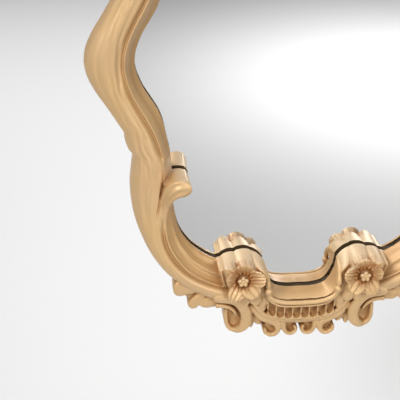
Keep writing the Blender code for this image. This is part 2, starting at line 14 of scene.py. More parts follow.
import bmesh
import bpy
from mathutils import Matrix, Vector


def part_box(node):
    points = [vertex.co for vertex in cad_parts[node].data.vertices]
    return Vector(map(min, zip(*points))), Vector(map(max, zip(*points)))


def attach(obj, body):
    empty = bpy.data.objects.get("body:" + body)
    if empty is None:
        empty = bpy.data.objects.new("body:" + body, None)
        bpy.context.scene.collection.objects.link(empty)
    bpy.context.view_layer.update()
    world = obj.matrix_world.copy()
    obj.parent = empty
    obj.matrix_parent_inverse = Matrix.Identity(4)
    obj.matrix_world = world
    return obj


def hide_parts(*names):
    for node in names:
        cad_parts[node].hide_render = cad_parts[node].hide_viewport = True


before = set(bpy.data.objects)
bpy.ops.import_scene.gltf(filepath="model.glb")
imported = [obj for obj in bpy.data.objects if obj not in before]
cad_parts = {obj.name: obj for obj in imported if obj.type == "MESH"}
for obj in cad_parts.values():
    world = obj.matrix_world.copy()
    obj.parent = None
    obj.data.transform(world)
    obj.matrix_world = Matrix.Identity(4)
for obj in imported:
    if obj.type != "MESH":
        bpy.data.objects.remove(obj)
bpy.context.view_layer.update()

LOG = logging.getLogger("wall_mirror")

MM = 0.001
BODY = "root"
BURIED = -8.0
MERGE = 0.00002
SNAP = 0.00001

Point = Sequence[float]
Path = Callable[[float], Vector]
Amount = float | Callable[[float], float]
Place = Callable[[float, float], tuple[Vector, Vector]]
Knots = Sequence[tuple[float, float]]


class Slot(Enum):
    """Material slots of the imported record."""

    GOLD = "satin_gold"
    ZINC = "zinc_steel"


def real(x: float, z: float, depth: float) -> Vector:
    """A drawn point, in millimetres, at its real place in metres."""
    return Vector((x, -depth, z)) * MM


def eased(share: float) -> float:
    """A share in 0..1 with a soft start and a soft end."""
    share = min(max(share, 0.0), 1.0)
    return share * share * (3 - 2 * share)


def knot_value(station: float, pairs: Knots) -> float:
    """Value at a station of a soft line through knots.

    Args:
        station: where to read the line.
        pairs: (station, value) knots in order.

    Returns:
        The value there, level before the first and after the last knot.
    """
    if station <= pairs[0][0]:
        return pairs[0][1]
    for (s0, v0), (s1, v1) in zip(pairs, pairs[1:]):
        if station <= s1:
            return v0 + (v1 - v0) * eased((station - s0) / (s1 - s0))
    return pairs[-1][1]


def along(points: Sequence[Point], share: float) -> Vector:
    """Place on a smooth curve that passes through every point.

    Args:
        points: the points, all of two or all of three numbers.
        share: how far along the curve, 0 to 1.

    Returns:
        The place as a vector of as many numbers.
    """
    last = len(points) - 1
    spot = min(max(share, 0.0), 1.0) * last
    i = min(int(spot), last - 1)
    f = spot - i
    p1, p2 = Vector(points[i]), Vector(points[i + 1])
    p0 = Vector(points[i - 1]) if i else p1 * 2 - p2
    p3 = Vector(points[i + 2]) if i + 2 <= last else p2 * 2 - p1
    return 0.5 * (2 * p1 + (p2 - p0) * f + (2 * p0 - 5 * p1 + 4 * p2 - p3) * f ** 2
                  + (3 * p1 - p0 - 3 * p2 + p3) * f ** 3)


def through(*points: Point) -> Path:
    """Path of a smooth curve through points."""
    return lambda share: along(points, share)


def ramp(first: float, last: float) -> Callable[[float], float]:
    """An amount that runs evenly from one value to another."""
    return lambda share: first + (last - first) * share


def knotted(*pairs: tuple[float, float]) -> Callable[[float], float]:
    """An amount that follows a soft line through knots."""
    return lambda share: knot_value(share, pairs)


def as_function(amount: Amount) -> Callable[[float], float]:
    """An amount as a function of the share along a path."""
    return amount if callable(amount) else lambda share: amount


def round_end(share: float, head: float, tail: float) -> float:
    """How far a swept form has opened out from its rounded ends.

    Args:
        share: place along the form.
        head: share of its length that the first end takes.
        tail: share of its length that the last end takes.

    Returns:
        A factor from 0 at a closed end to 1 between the ends.
    """
    factor = 1.0
    if head and share < head:
        factor *= sqrt(max(0.0, 1 - (1 - share / head) ** 2))
    if tail and share > 1 - tail:
        factor *= sqrt(max(0.0, 1 - (1 - (1 - share) / tail) ** 2))
    return factor


@dataclass
class Chisel:
    """Adds closed bodies to one mesh; they overlap and are fused later."""

    mesh: bmesh.types.BMesh

    def relief(self, place: Place, across: int, length: int) -> None:
        """A carved surface over a buried back.

        Args:
            place: gives the front and the back of the body at shares across and along it.
            across: number of steps across.
            length: number of steps along.
        """
        grid = bmesh.ops.create_grid(self.mesh, x_segments=across, y_segments=length, size=0.5)
        shares = {v: (v.co.x + 0.5, v.co.y + 0.5) for v in grid["verts"]}
        faces = list({f for v in grid["verts"] for f in v.link_faces})
        backs = {}
        for vert, (u, v) in shares.items():
            vert.co, back = place(u, v)
            backs[tuple(vert.co)] = back
        region = bmesh.ops.extrude_face_region(self.mesh, geom=faces)
        for item in region["geom"]:
            if isinstance(item, bmesh.types.BMVert):
                item.co = backs[tuple(item.co)]

    def moulding(self, path: Path, half_width: Amount, crest: Amount, round_rise: Amount, head: float = 0.25,
                 tail: float = 0.25, steps: int = 56, sides: int = 22) -> None:
        """A rounded moulding along a path, with walls that run back to the flat back.

        Args:
            path: its centre line as (x, z).
            half_width: half of its width.
            crest: depth of its crest.
            round_rise: how far the crest rises over the springing of its round.
            head: share of the length that rounds off the first end.
            tail: share of the length that rounds off the last end.
            steps: number of steps along.
            sides: number of steps across.
        """
        width_at, crest_at, rise_at = map(as_function, (half_width, crest, round_rise))

        def place(u: float, v: float) -> tuple[Vector, Vector]:
            """Front and back of the moulding.

            Args:
                u: share across.
                v: share along.

            Returns:
                Both places.
            """
            here = path(v)
            ahead = path(min(v + 0.01, 1.0)) - path(max(v - 0.01, 0.0))
            side = Vector((-ahead[1], ahead[0])).normalized()
            scale = round_end(v, head, tail)
            offset = side * width_at(v) * scale * cos(pi * u)
            rise = rise_at(v)
            depth = crest_at(v) - rise + rise * sin(pi * u) * (0.35 + 0.65 * scale)
            x, z = here[0] + offset[0], here[1] + offset[1]
            return real(x, z, depth), real(x, z, BURIED)

        self.relief(place, sides, steps)

    def rod(self, path: Path, radius: Amount, head: float = 0.15, tail: float = 0.15, steps: int = 40,
            sides: int = 14) -> None:
        """A round rod along a path of (x, z, depth), with rounded ends.

        Args:
            path: its centre line.
            radius: its radius.
            head: share of the length that rounds off the first end.
            tail: share of the length that rounds off the last end.
            steps: number of steps along.
            sides: number of steps round.
        """
        radius_at = as_function(radius)
        grid = bmesh.ops.create_grid(self.mesh, x_segments=sides, y_segments=steps, size=0.5)
        for vert in grid["verts"]:
            u, v = vert.co.x + 0.5, vert.co.y + 0.5
            here = path(v)
            ahead = (path(min(v + 0.01, 1.0)) - path(max(v - 0.01, 0.0))).normalized()
            side = ahead.cross(Vector((0, 0, 1)))
            side = side.normalized() if side.length > 0.05 else Vector((1, 0, 0))
            rise = side.cross(ahead)
            size = radius_at(v) * round_end(v, head, tail)
            vert.co = real(*(here + (side * cos(2 * pi * u) + rise * sin(2 * pi * u)) * size))
        bmesh.ops.remove_doubles(self.mesh, verts=grid["verts"], dist=MERGE)

    def boss(self, x: float, z: float, depth: float, radius: float) -> None:
        """A small round boss.

        Args:
            x: its middle across.
            z: its middle up.
            depth: its middle forward.
            radius: its radius.
        """
        made = bmesh.ops.create_icosphere(self.mesh, subdivisions=3, radius=radius)
        for vert in made["verts"]:
            vert.co = real(x + vert.co.x, z + vert.co.z, depth - vert.co.y)


@dataclass(frozen=True)
class Bar:
    """A rounded moulding with its line and sizes."""

    line: tuple[Point, ...]
    half_width: Amount
    crest: Amount
    round_rise: float
    head: float = 0.25
    tail: float = 0.25
    steps: int = 56

    def carve(self, chisel: Chisel) -> None:
        """Carve the moulding."""
        chisel.moulding(through(*self.line), self.half_width, self.crest, self.round_rise,
                        self.head, self.tail, self.steps)


@dataclass
class Crease:
    """A soft valley down the face of the arm."""

    line: tuple[tuple[float, float], ...]
    depth: float
    width: float

    def cut(self, station: float, share: float, face_width: float) -> float:
        """How deep the valley is.

        Args:
            station: place along the arm.
            share: place across the face, from the outer edge to the groove.
            face_width: width of the face there, in millimetres.

        Returns:
            The depth to take off, in millimetres.
        """
        first, last = self.line[0][0], self.line[-1][0]
        fade = eased((station - first) / 0.8 + 0.5) * eased((last - station) / 0.8 + 0.5)
        away = (share - knot_value(station, self.line)) * face_width / self.width
        return self.depth * fade * exp(-away * away)


@dataclass
class Arm:
    """The long S-shaped arm, from mid-height down to the flower."""

    outer_edge: tuple[Point, ...] = (
        (-361, 14), (-358, -16), (-346, -44), (-329, -71), (-314, -96), (-302, -117), (-300, -132),
        (-295, -147), (-288, -157), (-291, -184), (-294, -217), (-290, -262), (-279, -301), (-263, -339),
        (-237, -378), (-204, -407), (-169, -428), (-138, -440), (-108, -446),
    )
    groove_line: tuple[Point, ...] = (
        (-301, 14), (-299, -16), (-291.5, -44), (-280, -69), (-268, -91), (-257, -113), (-250, -130),
        (-246, -144), (-241.5, -156), (-238.5, -184), (-239, -217), (-240, -258), (-240.5, -298),
        (-231.5, -332), (-210.5, -364), (-185, -385), (-159, -398), (-133, -406), (-106, -412),
    )
    sight_edge: tuple[Point, ...] = (
        (-281, 14), (-278, -16), (-268, -43), (-255, -65), (-243, -86), (-236, -106), (-232, -126),
        (-229, -141), (-226, -155), (-224, -184), (-223, -215), (-221, -255), (-213, -297), (-195, -327),
        (-174, -346), (-157, -357), (-142, -363), (-124, -368), (-104, -372),
    )
    bead_step: Knots = ((0, 0.20), (8, 0.24), (11, 0.24), (13, 0.19), (15, 0.12), (17, 0.08))
    groove_share: Knots = ((7.6, 1.0), (8.6, 0.0), (11.0, 0.0), (12.2, 1.0))
    ridge_share: Knots = ((0, 0.62), (11, 0.74), (12, 0.72), (13, 0.62), (14, 0.53), (16, 0.47), (17, 0.36))
    ridge_rise: Knots = ((0, 0.0), (10, 0.0), (12, 4.0), (14, 7.0), (18, 9.0))
    creases: tuple[Crease, ...] = (
        Crease(((-1, 0.72), (1.1, 0.66), (2.1, 0.56), (3.0, 0.49), (4.2, 0.42)), 2.1, 3.0),
        Crease(((-1, 0.92), (1.1, 0.88), (2.1, 0.79), (3.0, 0.76), (4.0, 0.73), (5.6, 0.70)), 2.3, 3.2),
        Crease(((-1, 0.36), (1.5, 0.32), (3.0, 0.26), (5.0, 0.20)), 1.8, 3.6),
        Crease(((4.2, 0.56), (5.1, 0.46), (6.1, 0.41), (7.3, 0.38), (8.4, 0.33)), 2.2, 2.8),
        Crease(((5.0, 0.62), (6.2, 0.58), (7.5, 0.59), (8.2, 0.60)), 2.0, 2.6),
        Crease(((8.3, 0.46), (9.2, 0.51), (9.8, 0.45), (10.7, 0.42), (11.3, 0.42)), 2.6, 2.4),
        Crease(((8.6, 0.62), (9.1, 0.64), (9.8, 0.58), (10.7, 0.51), (11.6, 0.50)), 2.2, 2.4),
        Crease(((8.6, 0.84), (9.6, 0.78), (11.0, 0.72), (12.0, 0.70), (13.0, 0.68)), 1.4, 4.0),
        Crease(((8.6, 1.02), (9.3, 1.0), (9.7, 0.97), (10.3, 0.90), (11.1, 0.80)), 4.6, 2.0),
    )
    face_keys: tuple[Point, ...] = (
        (0.0, 12, 0), (0.02, 25, 0), (0.08, 34, 0), (0.28, 45, 0), (0.54, 50, 0), (0.74, 50.4, 0),
        (0.86, 49, 0.4), (0.95, 47.5, 2.5), (1.0, 46, 4.5),
    )
    face_part: float = 0.62
    across: int = 100
    length: int = 260

    def face(self, share: float, station: float) -> float:
        """Depth of the rounded face.

        Args:
            share: place from the outer edge to the groove.
            station: place along the arm.

        Returns:
            The depth before any crease.
        """
        sunk = knot_value(station, self.groove_share)
        keys = [(place, depth - drop * sunk) for place, depth, drop in self.face_keys]
        for (s0, d0), (s1, d1) in zip(keys, keys[1:]):
            if share <= s1:
                f = (share - s0) / (s1 - s0)
                return d0 + (d1 - d0) * (f if s1 < 0.5 else eased(f) * 0.5 + f * 0.5)
        return keys[-1][1]

    def inside(self, share: float, station: float) -> float:
        """Depth of the bead, the cove and the lip.

        Args:
            share: place from the groove to the sight edge.
            station: place along the arm.

        Returns:
            The depth.
        """
        bead = knot_value(station, self.bead_step)
        ridge = knot_value(station, self.ridge_share)
        rise = knot_value(station, self.ridge_rise)
        sunk = knot_value(station, self.groove_share)
        between = 0.5 * (bead + ridge)
        keys = ((0.0, 46 - 4.5 * sunk), (0.30 * bead, 45 - 3 * sunk), (0.80 * bead, 43 + 3.5 * sunk),
                (1.05 * bead, 42 + 4.5 * sunk), (1.4 * bead, 40.5 + 2 * sunk - 0.5 * rise),
                (between + 0.5 * bead, 34 - 0.2 * rise), (ridge + 0.02, 27 + rise),
                (0.5 * (ridge + 1), 23 + 0.3 * rise), (1.0, 20))
        steps = sorted(keys)
        for (s0, d0), (s1, d1) in zip(steps, steps[1:]):
            if share <= s1:
                f = (share - s0) / max(s1 - s0, 0.001)
                return d0 + (d1 - d0) * (0.85 * f + 0.15 * eased(f))
        return steps[-1][1]

    def carve(self, chisel: Chisel) -> None:
        """Carve the arm.

        Args:
            chisel: adds it to the mesh.
        """
        stations = len(self.outer_edge) - 1

        def place(u: float, v: float) -> tuple[Vector, Vector]:
            """Front and back of the arm.

            Args:
                u: share across.
                v: share along.

            Returns:
                Both places.
            """
            groove = along(self.groove_line, v)
            station = v * stations
            if u < self.face_part:
                share = u / self.face_part
                outer = along(self.outer_edge, v)
                here = outer + (groove - outer) * share
                depth = self.face(share, station)
                width = (groove - outer).length
                depth -= sum(c.cut(station, share, width) for c in self.creases)
            else:
                share = (u - self.face_part) / (1 - self.face_part)
                here = groove + (along(self.sight_edge, v) - groove) * share
                depth = self.inside(share, station)
            return real(*here, depth), real(*here, BURIED)

        chisel.relief(place, self.across, self.length)


@dataclass
class InnerCurl:
    """The curl that turns in over the pane, with its stem and flowing ridges."""

    upper: tuple[Point, ...] = (
        (-248, -252, 46), (-244, -228, 53), (-240, -211, 62), (-233, -198, 70), (-223, -189, 75),
        (-211, -186, 77), (-201, -187, 75),
    )
    lower: tuple[Point, ...] = (
        (-234, -276, 46), (-231, -252, 52), (-227, -236, 61), (-221, -225, 69), (-213, -219, 73),
        (-204, -216, 74), (-198, -213, 72),
    )
    ridges: float = 2.5
    ridge_height: float = 2.1
    bulge_height: float = 6.0
    tip_reach: float = 5.5

    def carve(self, chisel: Chisel) -> None:
        """Carve the curl.

        Args:
            chisel: adds it to the mesh.
        """
        def place(u: float, v: float) -> tuple[Vector, Vector]:
            """Front and back of the curl.

            Args:
                u: share across.
                v: share along.

            Returns:
                Both places.
            """
            a, b = along(self.upper, v), along(self.lower, v)
            here = a + (b - a) * u
            bulge = sin(pi * u) ** 0.6
            tip = self.tip_reach * sin(pi * u) * max(0.0, v - 0.8) * 5
            flow = self.ridge_height * cos(2 * pi * self.ridges * u) * sin(pi * min(1.0, v * 1.1))
            lean = (9 - 14 * v) * (1 - u) * min(1.0, v * 3)
            front = real(here[0] + tip, here[1], here[2] - self.bulge_height * (1 - bulge) + flow)
            return front, real(here[0] + tip * 0.6, here[1] + lean, BURIED)

        chisel.relief(place, 44, 60)


@dataclass
class Folds:
    """A thin rib and three fluted folds that rise from the pane's edge and run forward under the flower."""

    foot: tuple[Point, ...] = ((-149, -361), (-141, -358), (-117, -350), (-88, -348), (-66, -367))
    rim: tuple[Point, ...] = ((-147, -363), (-141, -362), (-115, -362), (-82, -370), (-62, -391))
    back: tuple[Point, ...] = ((-138, -400), (-131, -402), (-114, -402), (-88, -404), (-70, -410))
    swell: tuple[Point, ...] = ((1, 2), (4, 8), (5, 12), (3, 9))
    rim_depth: tuple[Point, ...] = ((62, 66), (71, 71), (67, 63), (61, 57))
    crease_depth: tuple[float, ...] = (4.0, 13.0, 11.0, 11.0, 6.0)
    foot_depth: float = 12.0
    roll_drop: float = 14.0
    wall_part: float = 0.6

    def carve(self, chisel: Chisel) -> None:
        """Carve the folds.

        Args:
            chisel: adds them to the mesh.
        """
        count = len(self.swell)

        def place(u: float, v: float) -> tuple[Vector, Vector]:
            """Front and back of the folds.

            Args:
                u: share from the foot over the rim to the back.
                v: share along.

            Returns:
                Both places.
            """
            fold = min(int(v * count), count - 1)
            share = v * count - fold
            bump = sin(pi * share) ** 0.55
            valley = self.crease_depth[fold] * (1 - share) + self.crease_depth[fold + 1] * share

            def on(line: Sequence[Point]) -> Vector:
                """Place between two corners of a line."""
                return Vector(line[fold]) + (Vector(line[fold + 1]) - Vector(line[fold])) * share

            square = Vector(self.foot[fold + 1]) - Vector(self.foot[fold])
            square = Vector((-square[1], square[0])).normalized()
            low = on(self.foot) + square * self.swell[fold][0] * bump
            top = on(self.rim) + square * self.swell[fold][1] * bump
            first, last = self.rim_depth[fold]
            crest = first * (1 - share) + last * share - valley * (1 - bump)
            wall = min(u / self.wall_part, 1.0)
            roll = max(0.0, (u - self.wall_part) / (1 - self.wall_part))
            spot = low + (top - low) * wall
            spot = spot + (on(self.back) - spot) * roll ** 1.5
            depth = self.foot_depth + (crest - self.foot_depth) * sin(pi / 2 * wall) ** 0.9
            depth -= self.roll_drop * roll ** 2
            base = low if u < self.wall_part else spot
            return real(*spot, depth), real(*base, BURIED)

        chisel.relief(place, 44, 140)


@dataclass
class RolledEdge:
    """The rolled edge beside the folds, which ends in a small ball."""

    line: tuple[Point, ...] = (
        (-69, -368, 8), (-67, -372, 30), (-65, -378, 50), (-63, -388, 60), (-61, -402, 61),
    )
    radius: tuple[float, float] = (4.0, 5.5)
    ball: tuple[float, float, float] = (-61, -407, 60)
    ball_radius: float = 7.0
    fills: tuple[Bar, ...] = (
        Bar(((-72, -370), (-70, -388), (-67, -408), (-64, -424)), 7, 46, 7),
        Bar(((-78, -392), (-70, -404), (-66, -420)), 8, 54, 6),
    )

    def carve(self, chisel: Chisel) -> None:
        """Carve the edge and its ball.

        Args:
            chisel: adds them to the mesh.
        """
        chisel.rod(through(*self.line), ramp(*self.radius))
        chisel.boss(*self.ball, self.ball_radius)
        for fill in self.fills:
            fill.carve(chisel)


@dataclass
class BottomLip:
    """The short lip under the pane, with a thick bead and a thin one below it."""

    foot: tuple[Point, ...] = ((-62, -388), (-53, -408), (-42, -419), (-22, -424), (0, -424), (10, -424))
    front: tuple[Point, ...] = ((-64, -404), (-57, -418), (-42, -427), (-22, -430), (0, -430), (10, -430))
    thick_bead: tuple[Point, ...] = (
        (-63, -405, 57), (-57, -420, 58.5), (-45, -428.5, 58.5), (-28, -432.5, 58.5), (-8, -433.5, 58.5),
        (10, -433.5, 58.5),
    )
    thin_bead: tuple[Point, ...] = (
        (-66, -410, 52), (-61, -424, 54), (-50, -434, 55), (-36, -440, 55), (-16, -442, 55), (10, -442, 55),
    )
    wall_depth: tuple[float, float] = (12.0, 53.0)
    thick_radius: float = 3.9
    thin_radius: float = 2.5
    fill: Bar = Bar(((-64, -416), (-52, -430), (-38, -437), (-16, -439), (10, -439)), 7, 51, 6)

    def carve(self, chisel: Chisel) -> None:
        """Carve the lip and its beads.

        Args:
            chisel: adds them to the mesh.
        """
        low, high = self.wall_depth

        def place(u: float, v: float) -> tuple[Vector, Vector]:
            """Front and back of the lip's wall.

            Args:
                u: share across.
                v: share along.

            Returns:
                Both places.
            """
            a, b = along(self.foot, v), along(self.front, v)
            here = a + (b - a) * u
            return real(*here, low + (high - low) * sin(pi / 2 * u) ** 0.9), real(*a, BURIED)

        chisel.relief(place, 28, 60)
        chisel.rod(through(*self.thick_bead), self.thick_radius)
        chisel.rod(through(*self.thin_bead), self.thin_radius)
        self.fill.carve(chisel)


@dataclass
class NicheRow:
    """The row of round-ended niches under the lip, with thin fins and a scalloped rim."""

    fins: tuple[float, ...] = (14.8, 0.0, -14.8, -29.6, -44.4, -59.2)
    tops: tuple[float, ...] = (-444.0, -444.0, -444.0, -443.0, -440.0, -432.0)
    feet: tuple[float, ...] = (-473.0, -473.0, -473.0, -472.0, -470.0, -463.0)
    floor: float = 38.0
    rim: float = 49.5
    rod_radius: float = 1.5
    arc_drop: tuple[float, float] = (9.0, 8.5)
    arc_steps: int = 8
    fill: Bar = Bar(((-62, -436), (-67, -446), (-75, -457)), 7.5, 47, 4)

    def carve(self, chisel: Chisel) -> None:
        """Carve the row.

        Args:
            chisel: adds it to the mesh.
        """
        last = len(self.fins) - 1

        def place(u: float, v: float) -> tuple[Vector, Vector]:
            """Front and back of the row.

            Args:
                u: share across.
                v: share along.

            Returns:
                Both places.
            """
            spot = v * last
            i = min(int(spot), last - 1)
            f = spot - i
            x = self.fins[i] + (self.fins[i + 1] - self.fins[i]) * f
            top = self.tops[i] + (self.tops[i + 1] - self.tops[i]) * eased(f)
            foot = self.feet[i] + (self.feet[i + 1] - self.feet[i]) * eased(f)
            across = 2 * f - 1
            down = max(0.0, (u - 0.55) / 0.40)
            reach = min(1.0, sqrt(across * across + down * down))
            depth = self.floor + (self.rim - self.floor) * reach ** 4
            z = top + (foot - top) * u
            return real(x, z, depth), real(x, z, BURIED)

        chisel.relief(place, 40, 110)
        for i in range(1, len(self.fins)):
            x, top, foot = self.fins[i], self.tops[i], self.feet[i]
            chisel.rod(through((x, top, self.rim), (x, 0.4 * top + 0.6 * foot, self.rim)), self.rod_radius)
        for i in range(last):
            mid = 0.5 * (self.fins[i] + self.fins[i + 1])
            half = 0.5 * (self.fins[i] - self.fins[i + 1])
            foot = 0.5 * (self.feet[i] + self.feet[i + 1])
            rise, drop = self.arc_drop
            arc = []
            for k in range(self.arc_steps + 1):
                angle = pi * k / self.arc_steps
                arc.append((mid + half * cos(angle), foot + rise - drop * sin(angle), self.rim - 1))
            chisel.rod(through(*arc), self.rod_radius, steps=30, head=0.08, tail=0.08)
        self.fill.carve(chisel)


@dataclass
class LowerScrolls:
    """The band under the niches, its two volutes, and the small leaf beside them."""

    bars: tuple[Bar, ...] = (
        Bar(((-88, -432), (-79, -447), (-67, -461), (-50, -472), (-28, -476), (12, -476)), 4.5, 46.5, 4),
        Bar(((-88, -442), (-78, -458), (-62, -472), (-47, -479), (-38, -487), (-37, -497)),
            ramp(9.0, 6.5), 43, 6, tail=0.2),
        Bar(((-30, -480), (-10, -481), (12, -481)), 7.5, 40, 5),
        Bar(((-82, -459), (-68, -472), (-54, -480), (-43, -487), (-38, -497), (-42, -507), (-51, -510),
             (-60, -505), (-62, -495)), ramp(7.0, 3.8), ramp(44, 40), 5, head=0.1, tail=0.08, steps=90),
        Bar(((-60, -495), (-43, -497)), 13, 29, 3),
        Bar(((-31, -477), (-28.5, -488), (-26.5, -500), (-19.5, -508.5), (-10, -508), (-5.5, -500),
             (-10, -493)), ramp(5.2, 3.0), ramp(43, 39), 5, head=0.1, tail=0.08, steps=90),
        Bar(((-24, -496), (-9, -496)), 12, 29, 3),
        Bar(((-90, -456), (-88, -476), (-86, -498)), ramp(9, 5), 34, 7),
        Bar(((-86, -466), (-77, -480), (-69, -493)), ramp(10, 6), 32, 7),
    )

    def carve(self, chisel: Chisel) -> None:
        """Carve the band, the volutes and the leaf."""
        for bar in self.bars:
            bar.carve(chisel)


@dataclass
class BigScroll:
    """The large volute below the flower: a broad ribbon that turns round a hollow cup."""

    ribbon: Bar = Bar(
        ((-156, -424), (-134, -424), (-115, -431), (-103, -445), (-96.5, -462), (-97, -479), (-104, -491),
         (-115, -497), (-125, -493), (-130.5, -481), (-131.5, -466), (-131, -452)),
        knotted((0.0, 10.5), (0.45, 10.0), (0.58, 8.0), (0.68, 5.0), (1.0, 3.5)),
        knotted((0.0, 53.0), (0.5, 46.0), (0.7, 38.0), (1.0, 36.0)), 5.5, head=0.08, tail=0.05, steps=150)
    tongue: Bar = Bar(((-152, -441), (-139, -442), (-126, -448), (-117, -457), (-113, -468)), ramp(6, 3),
                      ramp(47, 40), 6, head=0.1, tail=0.15)
    cup_centre: tuple[float, float] = (-117.0, -476.0)
    cup_reach: tuple[float, float] = (18.0, 24.0)
    cup_depth: tuple[float, float] = (25.0, 34.0)

    def carve(self, chisel: Chisel) -> None:
        """Carve the scroll.

        Args:
            chisel: adds it to the mesh.
        """
        self.ribbon.carve(chisel)
        self.tongue.carve(chisel)
        low, high = self.cup_depth

        def place(u: float, v: float) -> tuple[Vector, Vector]:
            """Front and back of the hollow cup.

            Args:
                u: share across.
                v: share along.

            Returns:
                Both places.
            """
            a, b = 2 * u - 1, 2 * v - 1
            x = a * sqrt(max(0.0, 1 - 0.5 * b * b))
            z = b * sqrt(max(0.0, 1 - 0.5 * a * a))
            away = min(1.0, x * x + z * z)
            spot = Vector(self.cup_centre) + Vector((x * self.cup_reach[0], z * self.cup_reach[1]))
            return real(*spot, low + (high - low) * away), real(*spot, BURIED)

        chisel.relief(place, 36, 36)


@dataclass
class SideLeaves:
    """Three leaves that peep out under the arm."""

    bars: tuple[Bar, ...] = (
        Bar(((-176, -409), (-200, -411.5), (-225, -412)), ramp(11, 17), 34, 8, head=0.1, tail=0.22),
        Bar(((-168, -423), (-184, -438), (-195, -452)), ramp(10, 11), 33, 8, tail=0.30),
        Bar(((-128, -432), (-152, -439), (-180, -443)), ramp(13, 11), 35, 7, tail=0.25),
        Bar(((-204, -414), (-178, -428), (-144, -437)), 15, 24, 5),
    )

    def carve(self, chisel: Chisel) -> None:
        """Carve the leaves."""
        for bar in self.bars:
            bar.carve(chisel)


@dataclass
class Petal:
    """One petal of the flower: a cupped fan with a thin rim, fluted from the heart outward."""

    turn: float
    reach: float
    half_width: float
    rim_depth: float
    flutes: float
    flute_height: float
    root_depth: float = 57.0

    def carve(self, chisel: Chisel, centre: tuple[float, float]) -> None:
        """Carve the petal.

        Args:
            chisel: adds it to the mesh.
            centre: (x, z) of the flower.
        """
        ahead = Vector((cos(radians(self.turn)), sin(radians(self.turn))))
        side = Vector((-ahead[1], ahead[0]))

        def place(u: float, v: float) -> tuple[Vector, Vector]:
            """Front and back of the petal.

            Args:
                u: share across.
                v: share along.

            Returns:
                Both places.
            """
            w = 2 * u - 1
            reach = self.reach * v * (1 - 0.15 * w * w)
            spread = self.half_width * w * sin(pi * min(1.0, 0.10 + 0.68 * v)) ** 0.8
            x, z = Vector(centre) + ahead * reach + side * spread
            cup = self.root_depth + (self.rim_depth - self.root_depth) * eased(v * 1.1)
            flute = self.flute_height * (abs(cos(pi * self.flutes * w)) - 0.6) * eased(v * 1.8)
            lip = 2.0 * max(abs(w), v) ** 6 - 22 * max(0.0, v - 0.93)
            back = 36 if v > 0.2 else 32
            return (real(x, z, cup + flute + lip),
                    real(0.45 * x + 0.55 * centre[0], 0.45 * z + 0.55 * centre[1], back))

        chisel.relief(place, 56, 36)


@dataclass
class Flower:
    """Five-petalled flower with a beaded heart in a deep bowl, and the leaf behind it."""

    centre: tuple[float, float] = (-106.5, -381.5)
    petals: tuple[Petal, ...] = (
        Petal(86, 35.5, 19, 70.0, 1.0, 0.3),
        Petal(13, 40, 18, 74, 2.5, 4.0),
        Petal(-50, 39, 18, 71, 1.5, 3.4),
        Petal(-117, 43, 17, 67, 2.0, 3.2),
        Petal(158, 32, 15, 73, 1.0, 0.4),
    )
    heart_depth: float = 63.0
    heart_balls: int = 5
    ball_ring: float = 6.5
    ball_radius: float = 3.8
    stamens: int = 15
    stamen_ring: tuple[float, float] = (11.0, 16.5)
    stamen_rise: tuple[float, float] = (-3.0, 5.0)
    stamen_radius: float = 1.4
    fills: tuple[Bar, ...] = (
        Bar(((-128, -398), (-105, -394), (-82, -398)), 24, 52, 9),
        Bar(((-94, -404), (-84, -418), (-79, -438)), ramp(12, 13), 57, 9),
        Bar(((-106, -426), (-95, -440)), 10, 50, 5),
        Bar(((-66, -416), (-66, -431), (-73, -447)), 8, 50, 4),
        Bar(((-122, -408), (-104, -420), (-88, -432)), 13, 50, 9),
    )

    def carve(self, chisel: Chisel) -> None:
        """Carve the flower.

        Args:
            chisel: adds it to the mesh.
        """
        x, z = self.centre
        for petal in self.petals:
            petal.carve(chisel, self.centre)
        chisel.boss(x, z, self.heart_depth, 7.0)
        chisel.boss(x, z, self.heart_depth + 6, 2.4)
        for i in range(self.heart_balls):
            angle = radians(20 + 360 * i / self.heart_balls)
            chisel.boss(x + self.ball_ring * cos(angle), z + self.ball_ring * sin(angle),
                        self.heart_depth + 4.5, self.ball_radius)
        for i in range(self.stamens):
            angle = 2 * pi * (i + 0.5) / self.stamens
            ends = [(x + ring * cos(angle), z + ring * sin(angle), self.heart_depth + rise)
                    for ring, rise in zip(self.stamen_ring, self.stamen_rise)]
            chisel.rod(through(*ends), self.stamen_radius, steps=10)
        for fill in self.fills:
            fill.carve(chisel)


@dataclass
class Ground:
    """The low ground that joins the carving behind the flower and the scrolls."""

    bars: tuple[Bar, ...] = (
        Bar(((-150, -406), (-110, -408), (-70, -418)), 34, 34, 3),
        Bar(((-90, -446), (-50, -464), (12, -464)), 20, 32, 3),
        Bar(((-130, -450), (-104, -456), (-80, -460)), 20, 26, 3),
        Bar(((-66, -434), (-30, -442), (12, -442)), 18, 34, 3),
    )

    def carve(self, chisel: Chisel) -> None:
        """Carve the ground."""
        for bar in self.bars:
            bar.carve(chisel)


